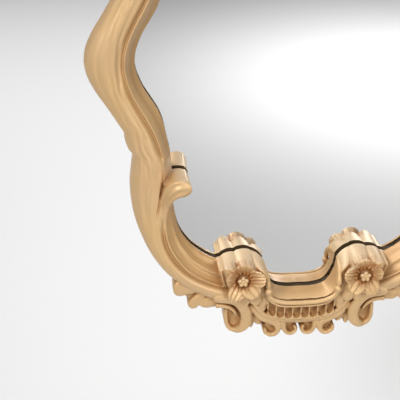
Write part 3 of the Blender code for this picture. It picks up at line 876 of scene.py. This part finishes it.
class Term:
    """A shader value: a socket that takes part in Python sums through Math nodes."""

    def __init__(self, bench: "Bench", socket: bpy.types.NodeSocket) -> None:
        """Keep the bench that makes nodes and the socket that gives the value."""
        self.bench = bench
        self.socket = socket

    def sum_of(self, operation: str, first: "Term | float", second: "Term | float") -> "Term":
        """One Math node's result.

        Args:
            operation: the Math node's operation.
            first: its first value.
            second: its second value.

        Returns:
            The result as a new term.
        """
        node = self.bench.node("ShaderNodeMath", {"operation": operation}, {0: first, 1: second})
        return Term(self.bench, node.outputs[0])

    def __add__(self, other: "Term | float") -> "Term":
        """This plus the other."""
        return self.sum_of("ADD", self, other)

    def __radd__(self, other: float) -> "Term":
        """The other plus this."""
        return self.sum_of("ADD", other, self)

    def __sub__(self, other: "Term | float") -> "Term":
        """This less the other."""
        return self.sum_of("SUBTRACT", self, other)

    def __rsub__(self, other: float) -> "Term":
        """The other less this."""
        return self.sum_of("SUBTRACT", other, self)

    def __mul__(self, other: "Term | float") -> "Term":
        """This times the other."""
        return self.sum_of("MULTIPLY", self, other)

    def __rmul__(self, other: float) -> "Term":
        """The other times this."""
        return self.sum_of("MULTIPLY", other, self)

    def __pow__(self, other: float) -> "Term":
        """This to a power."""
        return self.sum_of("POWER", self, other)

    def size(self) -> "Term":
        """This without its sign."""
        return self.sum_of("ABSOLUTE", self, 0.0)

    def held(self) -> "Term":
        """This, held between 0 and 1."""
        return self.sum_of("MINIMUM", self.sum_of("MAXIMUM", self, 0.0), 1.0)


class Bench:
    """Makes the nodes of one material."""

    def __init__(self, name: str) -> None:
        """Start a material with its Principled shader.

        Args:
            name: the material's name.
        """
        self.material = bpy.data.materials.new(name)
        self.material.use_nodes = True
        self.tree = self.material.node_tree
        self.shader = self.tree.nodes["Principled BSDF"]

    def node(self, kind: str, settings: dict[str, object], inputs: dict[int | str, object]) -> bpy.types.Node:
        """Make one node.

        Args:
            kind: the node's type.
            settings: what is set on the node first; "stops" are a ramp's (place, colour) pairs.
            inputs: a value, a term or a socket for each input socket.

        Returns:
            The node.
        """
        made = self.tree.nodes.new(kind)
        for key, value in settings.items():
            if key == "stops":
                for stop, (place, colour) in enumerate(value):
                    item = made.color_ramp.elements[stop] if stop < 2 else made.color_ramp.elements.new(place)
                    item.position, item.color = place, (*colour, 1.0)
            else:
                setattr(made, key, value)
        for key, value in inputs.items():
            self.feed(made.inputs[key], value)
        return made

    def feed(self, socket: bpy.types.NodeSocket, value: object) -> None:
        """Feed a socket.

        Args:
            socket: what is fed.
            value: a term, another socket or a plain value.
        """
        if isinstance(value, Term):
            self.tree.links.new(value.socket, socket)
        elif isinstance(value, bpy.types.NodeSocket):
            self.tree.links.new(value, socket)
        elif isinstance(value, tuple) and len(value) == 3 and socket.type == "RGBA":
            socket.default_value = (*value, 1.0)
        else:
            socket.default_value = value

    def place(self) -> bpy.types.NodeSocket:
        """The object's own coordinates."""
        return self.node("ShaderNodeTexCoord", {}, {}).outputs["Object"]

    def normal(self) -> bpy.types.NodeSocket:
        """The way the surface faces."""
        return self.node("ShaderNodeNewGeometry", {}, {}).outputs["Normal"]

    def noise(self, scale: float, detail: float = 3.0, vector: bpy.types.NodeSocket | None = None) -> Term:
        """Soft noise from 0 to 1.

        Args:
            scale: how fine it is.
            detail: how many finer layers it has.
            vector: where it is read, or nothing for the object's coordinates.

        Returns:
            The noise.
        """
        made = self.node("ShaderNodeTexNoise", {},
                         {"Vector": vector or self.place(), "Scale": scale, "Detail": detail})
        return Term(self, made.outputs["Fac"])

    def ray(self, across: Term, up: Term, radius: Term) -> bpy.types.NodeSocket:
        """A place that is the same all along each ray from a centre.

        Args:
            across: distance from the centre across.
            up: distance from the centre up.
            radius: distance from the centre.

        Returns:
            The socket that gives the place.
        """
        made = self.node("ShaderNodeCombineXYZ", {}, {
            "X": self.divided(across, radius), "Y": self.divided(up, radius), "Z": 0.0})
        return made.outputs[0]

    def divided(self, first: Term, second: Term) -> Term:
        """The first over the second."""
        return first.sum_of("DIVIDE", first, second)

    def hollow(self, distance: float) -> Term:
        """How far a place lies in a hollow, 0 in the open and 1 deep inside.

        Args:
            distance: how wide the hollows are that count.

        Returns:
            The share.
        """
        made = self.node("ShaderNodeAmbientOcclusion", {"samples": 8, "only_local": True},
                         {"Distance": distance})
        return 1.0 - Term(self, made.outputs["AO"])

    def axis(self, vector: bpy.types.NodeSocket, name: str) -> Term:
        """One number of a vector, named X, Y or Z."""
        return Term(self, self.node("ShaderNodeSeparateXYZ", {}, {"Vector": vector}).outputs[name])

    def from_spot(self, centre: tuple[float, float]) -> tuple[Term, Term, Term]:
        """Distances from a spot that each quarter of the mirror has.

        Args:
            centre: its distances from the middle across and up, in metres.

        Returns:
            The distance across, the distance up and the whole distance.
        """
        across = self.axis(self.place(), "X").size() - centre[0]
        up = self.axis(self.place(), "Z").size() - centre[1]
        return across, up, (across * across + up * up) ** 0.5

    def blend(self, factor: Term, first: object, second: object) -> bpy.types.NodeSocket:
        """A colour between two colours."""
        made = self.node("ShaderNodeMix", {"data_type": "RGBA"}, {0: factor, 6: first, 7: second})
        return made.outputs[2]

    def bump(self, height: Term, strength: float, distance: float) -> None:
        """Raise the surface by a height."""
        made = self.node("ShaderNodeBump", {}, {"Height": height, "Strength": strength, "Distance": distance})
        self.feed(self.shader.inputs["Normal"], made.outputs[0])

    def set(self, **values: object) -> None:
        """Set the shader's sockets, named with underscores for spaces."""
        for key, value in values.items():
            self.feed(self.shader.inputs[key.replace("_", " ")], value)


@dataclass(frozen=True)
class GoldPaint:
    """Satin champagne gold paint over the casting, with warmer painted shade in its hollows, crevices, coves
    and flower bowls and on the lip's side toward the pane, and a painted cream sheen on the walls of the curl
    and the folds.
    """

    light: tuple[float, float, float] = (0.695, 0.450, 0.205)
    pale: tuple[float, float, float] = (0.675, 0.445, 0.230)
    # painted shade: colour laid into the wide hollows and onto the inward walls toward the pane
    cove: tuple[float, float, float] = (0.430, 0.230, 0.080)
    # painted sheen: pale cream on the inward walls of the curl and the folds
    painted_sheen: tuple[float, float, float] = (0.720, 0.570, 0.390)
    # painted shade: dark warm colour for crevices, from the near hollow mask
    deep: tuple[float, float, float] = (0.290, 0.118, 0.025)
    # painted shade in the bowl round each flower's heart
    bowl_shade: tuple[float, float, float] = (0.360, 0.125, 0.018)
    # painted shade: dark brown on the lip's side toward the pane
    rebate_shade: tuple[float, float, float] = (0.150, 0.092, 0.040)
    flower: tuple[float, float] = (0.1065, 0.3815)
    curl: tuple[float, float] = (0.2130, 0.2050)
    folds: tuple[float, float] = (0.1050, 0.3500)
    spot_reach: float = 0.048
    bowl_radius: float = 0.0295
    bowl_lean: float = 0.22
    heart_radius: float = 0.0102
    streaks: float = 9.0
    wide_hollow: float = 0.045
    near_hollow: float = 0.010
    wall_depth: float = 0.050
    front_depth: float = 0.045
    rebate_depth: tuple[float, float] = (0.0115, 0.0180)

    def bowl(self, bench: "Bench") -> Term:
        """How much painted shade darkens the bowl of each flower, with radial streaks at its edge.

        Args:
            bench: makes the nodes.

        Returns:
            The share.
        """
        across, up, radius = bench.from_spot(self.flower)
        streak = bench.noise(self.streaks, 2.0, bench.ray(across, up, radius)) - 0.5
        outer = ((self.bowl_radius - up * self.bowl_lean - radius) * 90.0 + streak * 3.2).held()
        inner = ((radius - self.heart_radius) * 500.0 + 0.25).held()
        return outer * inner

    def rebate_shade_share(self, bench: "Bench", depth: Term) -> Term:
        """Where painted shade darkens the side of the lip that faces the pane, standing in for the shadow gap
        over the pane.

        Args:
            bench: makes the nodes.
            depth: distance forward from the flat back.

        Returns:
            The share.
        """
        first, last = self.rebate_depth
        backward = ((bench.axis(bench.normal(), "Y") - 0.5) * 4.0).held()
        return backward * ((depth - first) * 1000.0).held() * ((last - depth) * 1000.0).held()

    def spot(self, bench: "Bench", centre: tuple[float, float]) -> Term:
        """How near a place is to a spot that each quarter has."""
        return ((self.spot_reach - bench.from_spot(centre)[2]) * 80.0).held()

    def make(self) -> bpy.types.Material:
        """Make the paint.

        Returns:
            The material.
        """
        bench = Bench("satin_gold_paint")
        broad = bench.noise(7.0, 2.0)
        # painted shade masks: wide hollows and near crevices, read from ambient occlusion
        wide = (bench.hollow(self.wide_hollow) * 2.3 - 0.36).held()
        near = (bench.hollow(self.near_hollow) * 2.2 - 0.50).held()
        depth = 0.0 - bench.axis(bench.place(), "Y")
        outward = bench.node("ShaderNodeVectorMath", {"operation": "DOT_PRODUCT"},
                             {0: bench.normal(), 1: bench.place()})
        inward = 0.0 - Term(bench, outward.outputs["Value"])
        # inward walls toward the pane get painted shade; near the curl and the folds they get a painted sheen
        # instead
        spots = (self.spot(bench, self.curl) + self.spot(bench, self.folds)).held()
        walls = (inward * 3.0 + 0.25).held() * ((self.wall_depth - depth) * 50.0).held()
        front = ((depth - self.front_depth) * 200.0).held()
        tone = bench.blend(((broad - 0.35) * 3.0).held(), self.light, self.pale)
        # Layers over the tone: painted shade in wide hollows and on inward walls, painted sheen on the curl's
        # and folds' walls, painted shade in crevices, in each flower's bowl and on the lip's side toward the
        # pane.
        for share, colour in (
                (wide * 0.78, self.cove), (walls * (1.0 - spots) * 0.62, self.cove),
                ((inward * 6.0 - 0.3).held() * spots * 0.60, self.painted_sheen), (near * 0.70, self.deep),
                (self.bowl(bench) * front * (0.62 + near * 0.33), self.bowl_shade),
                (self.rebate_shade_share(bench, depth), self.rebate_shade)):
            tone = bench.blend(share, tone, colour)
        speck = bench.noise(420.0, 3.0)
        bench.set(Base_Color=tone, Metallic=0.30, Roughness=0.45 + speck * 0.10, Coat_Weight=0.20,
                  Coat_Roughness=0.36)
        bench.bump(speck + bench.noise(90.0, 2.0) * 2.0, 0.10, 0.0004)
        return bench.material


@dataclass(frozen=True)
class SilveredGlass:
    """Clear silvered glass, greener at its ground edge."""

    silver: tuple[float, float, float] = (0.93, 0.935, 0.93)
    edge: tuple[float, float, float] = (0.16, 0.30, 0.25)

    def make(self) -> bpy.types.Material:
        """Make it.

        Returns:
            The material.
        """
        bench = Bench("silvered_glass")
        facing = bench.axis(bench.normal(), "Y")
        side = (1.0 - facing * facing).held()
        film = bench.noise(9.0, 2.0)
        bench.set(Base_Color=bench.blend(side, self.silver, self.edge), Metallic=1.0 - side * 0.8,
                  Roughness=side * 0.25 + film * 0.006)
        return bench.material


@dataclass(frozen=True)
class GapShadeFelt:
    """Dark brown felt of the glazing strip; its darkness also serves as painted shade for the gap between the
    lip and the pane.
    """

    dark: tuple[float, float, float] = (0.034, 0.023, 0.011)
    light: tuple[float, float, float] = (0.085, 0.058, 0.030)

    def make(self) -> bpy.types.Material:
        """Make it.

        Returns:
            The material.
        """
        bench = Bench("gap_shade_felt")
        fibre = bench.noise(900.0, 4.0)
        bench.set(Base_Color=bench.blend(fibre, self.dark, self.light), Roughness=0.85 + fibre * 0.1)
        bench.bump(fibre, 0.4, 0.0004)
        return bench.material


@dataclass(frozen=True)
class Hardboard:
    """Brown hardboard with the press screen's fine mesh on its rough side."""

    dark: tuple[float, float, float] = (0.155, 0.082, 0.040)
    light: tuple[float, float, float] = (0.300, 0.180, 0.095)
    screen_pitch: float = 620.0

    def make(self) -> bpy.types.Material:
        """Make it.

        Returns:
            The material.
        """
        bench = Bench("hardboard")
        fibre = bench.noise(160.0, 5.0)
        shade = bench.noise(6.0, 2.0)
        lines = []
        for direction in ("X", "Z"):
            wave = bench.node("ShaderNodeTexWave", {"bands_direction": direction},
                              {"Vector": bench.place(), "Scale": self.screen_pitch / 20.0})
            lines.append(Term(bench, wave.outputs["Fac"]))
        mesh = lines[0] * lines[1]
        tone = ((fibre - 0.3) * 1.4 + shade * 0.3).held()
        bench.set(Base_Color=bench.blend(tone, self.dark, self.light), Roughness=0.72 + fibre * 0.15)
        bench.bump(mesh + fibre, 0.35, 0.0005)
        return bench.material


@dataclass(frozen=True)
class ZincPlate:
    """Bright zinc plating with a faint cloudy spangle."""

    dull: tuple[float, float, float] = (0.44, 0.45, 0.45)
    bright: tuple[float, float, float] = (0.68, 0.68, 0.66)

    def make(self) -> bpy.types.Material:
        """Make it.

        Returns:
            The material.
        """
        bench = Bench("zinc_plate")
        cloud = bench.noise(240.0, 3.0)
        bench.set(Base_Color=bench.blend(cloud, self.dull, self.bright), Metallic=1.0,
                  Roughness=0.26 + cloud * 0.22)
        bench.bump(bench.noise(1200.0, 2.0), 0.06, 0.0002)
        return bench.material


@dataclass(frozen=True)
class StudioFloor:
    """Plain pale floor."""

    colour: tuple[float, float, float] = (0.90, 0.90, 0.90)

    def make(self) -> bpy.types.Material:
        """Make it.

        Returns:
            The material.
        """
        bench = Bench("studio_floor")
        bench.set(Base_Color=self.colour, Roughness=0.9)
        return bench.material


def object_of(name: str, mesh: bmesh.types.BMesh) -> bpy.types.Object:
    """Turn a bmesh into a named object.

    Args:
        name: the object's name.
        mesh: the mesh, which is freed.

    Returns:
        The object, linked to the scene.
    """
    data = bpy.data.meshes.new(name)
    mesh.to_mesh(data)
    mesh.free()
    made = bpy.data.objects.new(name, data)
    bpy.context.scene.collection.objects.link(made)
    return made


def settle(owner: bpy.types.Object) -> int:
    """Replace an object's mesh by what its modifiers make of it.

    Args:
        owner: the object.

    Returns:
        How many faces it has then.
    """
    bpy.context.view_layer.update()
    seen = owner.evaluated_get(bpy.context.evaluated_depsgraph_get())
    mesh = bpy.data.meshes.new_from_object(seen)
    owner.modifiers.clear()
    owner.data = mesh
    return len(mesh.polygons)


def cut_away(owner: bpy.types.Object, cutters: Sequence[bpy.types.Object]) -> None:
    """Take cutters out of an object and delete them.

    Args:
        owner: the object.
        cutters: closed objects.
    """
    for cutter in cutters:
        cut = owner.modifiers.new(cutter.name, "BOOLEAN")
        cut.operation = "DIFFERENCE"
        cut.solver = "EXACT"
        cut.object = cutter
    settle(owner)
    for cutter in cutters:
        bpy.data.objects.remove(cutter, do_unlink=True)


def dress(owner: bpy.types.Object, finish: bpy.types.Material) -> None:
    """Give an object one material in place of those it has."""
    owner.data.materials.clear()
    owner.data.materials.append(finish)


def soften(owner: bpy.types.Object, sharp: float) -> None:
    """Shade an object smooth, but for edges that turn by more than some degrees."""
    owner.data.shade_smooth()
    owner.data.set_sharp_from_angle(angle=radians(sharp))


@dataclass
class PaneOutline:
    """The outline that the pane, its strip and its board share."""

    quarter: tuple[Point, ...] = (
        (-290, 0), (-277, -48), (-252, -90), (-236, -150), (-232, -225), (-224, -292), (-198, -338),
        (-160, -366), (-112, -376), (-76, -392), (-58, -420), (-30, -432), (0, -433),
    )
    steps: int = 16

    def closed(self) -> list[Vector]:
        """The whole outline.

        Returns:
            Real (x, z) points.
        """
        left_low = [along(self.quarter, i / self.steps) * MM for i in range(self.steps + 1)]
        low = left_low + [Vector((-x, z)) for x, z in reversed(left_low[:-1])]
        return low + [Vector((x, -z)) for x, z in reversed(low[1:-1])]

    def grown(self, distance: float) -> list[Vector]:
        """The outline moved outward.

        Args:
            distance: how far, in metres.

        Returns:
            Real (x, z) points.
        """
        outline = self.closed()
        count = len(outline)
        moved = []
        for i, here in enumerate(outline):
            ahead = (outline[(i + 1) % count] - outline[i - 1]).normalized()
            moved.append(here + Vector((ahead[1], -ahead[0])) * distance)
        return moved


def slab(mesh: bmesh.types.BMesh, outline: Sequence[Point], back: float, front: float) -> None:
    """Add a flat piece of an outline between two depths.

    Args:
        mesh: where it goes.
        outline: real (x, z) points.
        back: its depth at the back, in metres.
        front: its depth at the front, in metres.
    """
    loop = [mesh.verts.new((x, -back, z)) for x, z in outline]
    region = bmesh.ops.extrude_face_region(mesh, geom=[mesh.faces.new(loop)])
    moved = [g for g in region["geom"] if isinstance(g, bmesh.types.BMVert)]
    bmesh.ops.translate(mesh, verts=moved, vec=(0, back - front, 0))
    mesh.normal_update()
    bmesh.ops.recalc_face_normals(mesh, faces=mesh.faces)


def rectangle(x: float, z: float, width: float, height: float) -> list[Point]:
    """Corners of an upright rectangle about a middle, in metres."""
    across, up = width / 2, height / 2
    return [(x - across, z - up), (x + across, z - up), (x + across, z + up), (x - across, z + up)]


@dataclass
class Casting:
    """The whole carved frame as one closed skin."""

    voxel: float = 0.00095
    eased_times: int = 3
    quarter_triangles: int = 46500
    lip_back: float = 0.0149
    board_seat: float = 0.0043
    ledge: float = 0.010
    clearance: float = 0.001
    hanger_place: tuple[float, float] = (-0.267, 0.196)
    hanger_seat: tuple[float, float, float] = (0.0206, 0.0506, 0.0024)
    hanger_pocket: tuple[float, float, float] = (0.0144, 0.026, 0.010)
    pocket_rise: float = 0.003
    behind: float = 0.010
    sharp: float = 62.0

    def carved_quarter(self) -> bpy.types.Object:
        """Carve, fuse and thin the quarter.

        Returns:
            The quarter, cut square at both middles.
        """
        mesh = bmesh.new()
        chisel = Chisel(mesh)
        for carving in (Arm(), InnerCurl(), Folds(), RolledEdge(), BottomLip(), NicheRow(), LowerScrolls(),
                        BigScroll(), SideLeaves(), Flower(), Ground()):
            carving.carve(chisel)
        made = object_of("frame_casting", mesh)
        skin = made.modifiers.new("skin", "REMESH")
        skin.mode = "VOXEL"
        skin.voxel_size = self.voxel
        ease = made.modifiers.new("ease", "SMOOTH")
        ease.factor = 0.5
        ease.iterations = self.eased_times
        faces = settle(made)
        thin = made.modifiers.new("thin", "DECIMATE")
        thin.ratio = self.quarter_triangles / (2 * faces)
        settle(made)
        mesh = bmesh.new()
        mesh.from_mesh(made.data)
        for normal in ((1, 0, 0), (0, 0, 1)):
            whole = mesh.verts[:] + mesh.edges[:] + mesh.faces[:]
            bmesh.ops.bisect_plane(mesh, geom=whole, dist=SNAP, plane_co=(0, 0, 0), plane_no=normal,
                                   clear_outer=True)
        mesh.to_mesh(made.data)
        mesh.free()
        return made

    def cutters(self) -> list[bpy.types.Object]:
        """Blocks that take out what lies behind the flat back, the rebates and the hangers' seats.

        Returns:
            The blocks.
        """
        outline = PaneOutline()
        width, height, seat = self.hanger_seat
        slot, rise, pocket = self.hanger_pocket
        cuts = [
            (rectangle(0.0, 0.0, 1.0, 1.4), -3 * self.behind, 0.0),
            (outline.grown(self.clearance), -self.behind, self.lip_back),
            (outline.grown(self.ledge + self.clearance), -self.behind, self.board_seat),
        ]
        for sign in (1, -1):
            x, z = sign * self.hanger_place[0], self.hanger_place[1]
            cuts.append((rectangle(x, z, width, height), -self.behind, seat))
            cuts.append((rectangle(x, z + self.pocket_rise, slot, rise), -self.behind, pocket))
        made = []
        for number, (shape, back, front) in enumerate(cuts):
            mesh = bmesh.new()
            slab(mesh, shape, back, front)
            made.append(object_of(f"cutter_{number}", mesh))
        return made

    def build(self, finish: bpy.types.Material) -> bpy.types.Object:
        """Build and dress the casting.

        Args:
            finish: its paint.

        Returns:
            The finished piece.
        """
        made = self.carved_quarter()
        mirror = made.modifiers.new("mirror", "MIRROR")
        mirror.use_axis = (True, False, True)
        mirror.use_mirror_merge = True
        mirror.merge_threshold = MERGE
        cut_away(made, self.cutters())
        mesh = bmesh.new()
        mesh.from_mesh(made.data)
        bmesh.ops.triangulate(mesh, faces=mesh.faces)
        mesh.to_mesh(made.data)
        mesh.free()
        soften(made, self.sharp)
        dress(made, finish)
        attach(made, BODY)
        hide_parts("frame")
        return made


@dataclass
class Screw:
    """A countersunk screw with a cross recess, in place of the plain one."""

    node: str
    head_radius: float = 0.0030
    head_height: float = 0.0016
    shank_radius: float = 0.0014
    recess: float = 0.0009
    blade: tuple[float, float] = (0.0032, 0.0006)
    edge: float = 0.00025
    point: float = 0.002
    thread_turns: int = 9
    thread_root: float = 0.82
    steps: int = 28
    sharp: float = 35.0

    def build(self, finish: bpy.types.Material) -> bpy.types.Object:
        """Build and dress the screw where its node is.

        Args:
            finish: its plating.

        Returns:
            The finished piece.
        """
        low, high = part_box(self.node)
        x, z = 0.5 * (low.x + high.x), 0.5 * (low.z + high.z)
        head, tip = high.y, low.y
        profile = [(0.0, head), (self.head_radius - self.edge, head), (self.head_radius, head - self.edge),
                   (self.shank_radius, head - self.head_height)]
        start, end = head - self.head_height, tip + self.point
        for i in range(self.thread_turns):
            top = start + (end - start) * i / self.thread_turns
            pitch = (end - start) / self.thread_turns
            profile.append((self.shank_radius * self.thread_root, top + pitch * 0.5))
            profile.append((self.shank_radius, top + pitch * 0.9))
        profile.append((0.0, tip))
        mesh = bmesh.new()
        chain = [mesh.verts.new((radius, y, 0)) for radius, y in profile]
        edges = [mesh.edges.new(pair) for pair in zip(chain, chain[1:])]
        bmesh.ops.spin(mesh, geom=chain + edges, cent=(0, 0, 0), axis=(0, 1, 0), dvec=(0, 0, 0), angle=2 * pi,
                       steps=self.steps, use_merge=True)
        bmesh.ops.remove_doubles(mesh, verts=mesh.verts, dist=SNAP)
        mesh.normal_update()
        bmesh.ops.recalc_face_normals(mesh, faces=mesh.faces)
        made = object_of(self.node + "_turned", mesh)
        blades = []
        for wide, tall in (self.blade, self.blade[::-1]):
            mesh = bmesh.new()
            slab(mesh, rectangle(0.0, 0.0, wide, tall), -head - 0.001, -head + self.recess)
            blades.append(object_of("blade", mesh))
        cut_away(made, blades)
        mesh = bmesh.new()
        mesh.from_mesh(made.data)
        bmesh.ops.translate(mesh, verts=mesh.verts, vec=(x, 0, z))
        mesh.to_mesh(made.data)
        mesh.free()
        soften(made, self.sharp)
        dress(made, finish)
        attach(made, BODY)
        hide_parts(self.node)
        return made


@dataclass(frozen=True)
class SoftLight:
    """One large soft light: its name, place, aim, size, power in watts and spread in degrees."""

    name: str
    place: Point
    aim: Point
    size: tuple[float, float]
    power: float
    spread: float

    def hang(self) -> None:
        """Hang the light."""
        lamp = bpy.data.lights.new(self.name, "AREA")
        lamp.shape = "RECTANGLE"
        lamp.size, lamp.size_y = self.size
        lamp.energy = self.power
        lamp.spread = radians(self.spread)
        made = bpy.data.objects.new(self.name, lamp)
        made.location = self.place
        made.rotation_euler = (Vector(self.aim) - Vector(self.place)).to_track_quat("-Z", "Y").to_euler()
        bpy.context.scene.collection.objects.link(made)


@dataclass
class Studio:
    """Plain pale floor, soft lights and the camera."""

    eye: tuple[float, float, float] = (-0.31481949, -1.53884979, 0.47875253)
    target: tuple[float, float, float] = (-0.17563775, -0.0095, -0.25043720)
    lens: float = 90.0
    sensor: float = 36.0
    floor_height: float = -1.15
    floor_reach: float = 14.0
    sky: float = 0.20
    lights: tuple[SoftLight, ...] = (
        SoftLight("key", (-1.9, -2.3, 1.9), (-0.1, 0.0, -0.2), (1.4, 1.4), 9.3, 50),
        SoftLight("top", (-0.2, -0.55, 2.2), (-0.15, -0.05, -0.3), (1.2, 0.6), 1.0, 60),
        SoftLight("side", (0.95, -2.15, 0.15), (-0.15, -0.03, -0.33), (0.9, 0.7), 1.3, 50),
        SoftLight("back_floor", (-0.1, 3.0, 3.0), (-0.1, 2.8, -1.15), (6.5, 4.5), 82.0, 95),
        SoftLight("front_pool", (1.3, -3.2, 0.6), (1.25, -3.2, -1.15), (1.2, 1.2), 46.0, 170),
    )

    def lay_floor(self) -> None:
        """Lay the floor well below the mirror."""
        mesh = bmesh.new()
        bmesh.ops.create_grid(mesh, x_segments=1, y_segments=1, size=self.floor_reach)
        bmesh.ops.translate(mesh, verts=mesh.verts, vec=(0, 0, self.floor_height))
        floor = object_of("studio_floor", mesh)
        dress(floor, StudioFloor().make())

    def light(self) -> None:
        """Light the scene softly from above, and the floor behind the mirror."""
        world = bpy.data.worlds.new("studio_sky")
        world.use_nodes = True
        world.node_tree.nodes["Background"].inputs["Color"].default_value = (1.0, 1.0, 1.0, 1.0)
        world.node_tree.nodes["Background"].inputs["Strength"].default_value = self.sky
        bpy.context.scene.world = world
        for light in self.lights:
            light.hang()

    def set_camera(self) -> None:
        """Set the camera at the photograph's place."""
        lens = bpy.data.cameras.new("view")
        lens.lens = self.lens
        lens.sensor_width = self.sensor
        camera = bpy.data.objects.new("view", lens)
        camera.location = self.eye
        aim = Vector(self.target) - Vector(self.eye)
        camera.rotation_euler = aim.to_track_quat("-Z", "Y").to_euler()
        bpy.context.scene.collection.objects.link(camera)
        bpy.context.scene.camera = camera

    def build(self) -> None:
        """Build the studio."""
        bpy.context.scene.view_settings.view_transform = "Standard"
        self.lay_floor()
        self.light()
        self.set_camera()


def main() -> None:
    """Build the studio and every piece, and report each one."""
    logging.basicConfig(level=logging.INFO, format="%(message)s")
    Studio().build()
    casting = Casting().build(GoldPaint().make())
    LOG.info("%s: %d faces", casting.name, len(casting.data.polygons))
    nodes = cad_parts
    for name, finish in (("mirror_pane", SilveredGlass()), ("glazing_strip", GapShadeFelt()),
                         ("backing_board", Hardboard())):
        dress(nodes[name], finish.make())
        LOG.info("%s: dressed", name)
    zinc = ZincPlate().make()
    for name in sorted(nodes):
        if "screw" in name:
            made = Screw(name).build(zinc)
            LOG.info("%s: %d faces", made.name, len(made.data.polygons))
        elif name.startswith("hanger"):
            dress(nodes[name], zinc)
            LOG.info("%s: dressed", name)


if __name__ == "__main__":
    main()
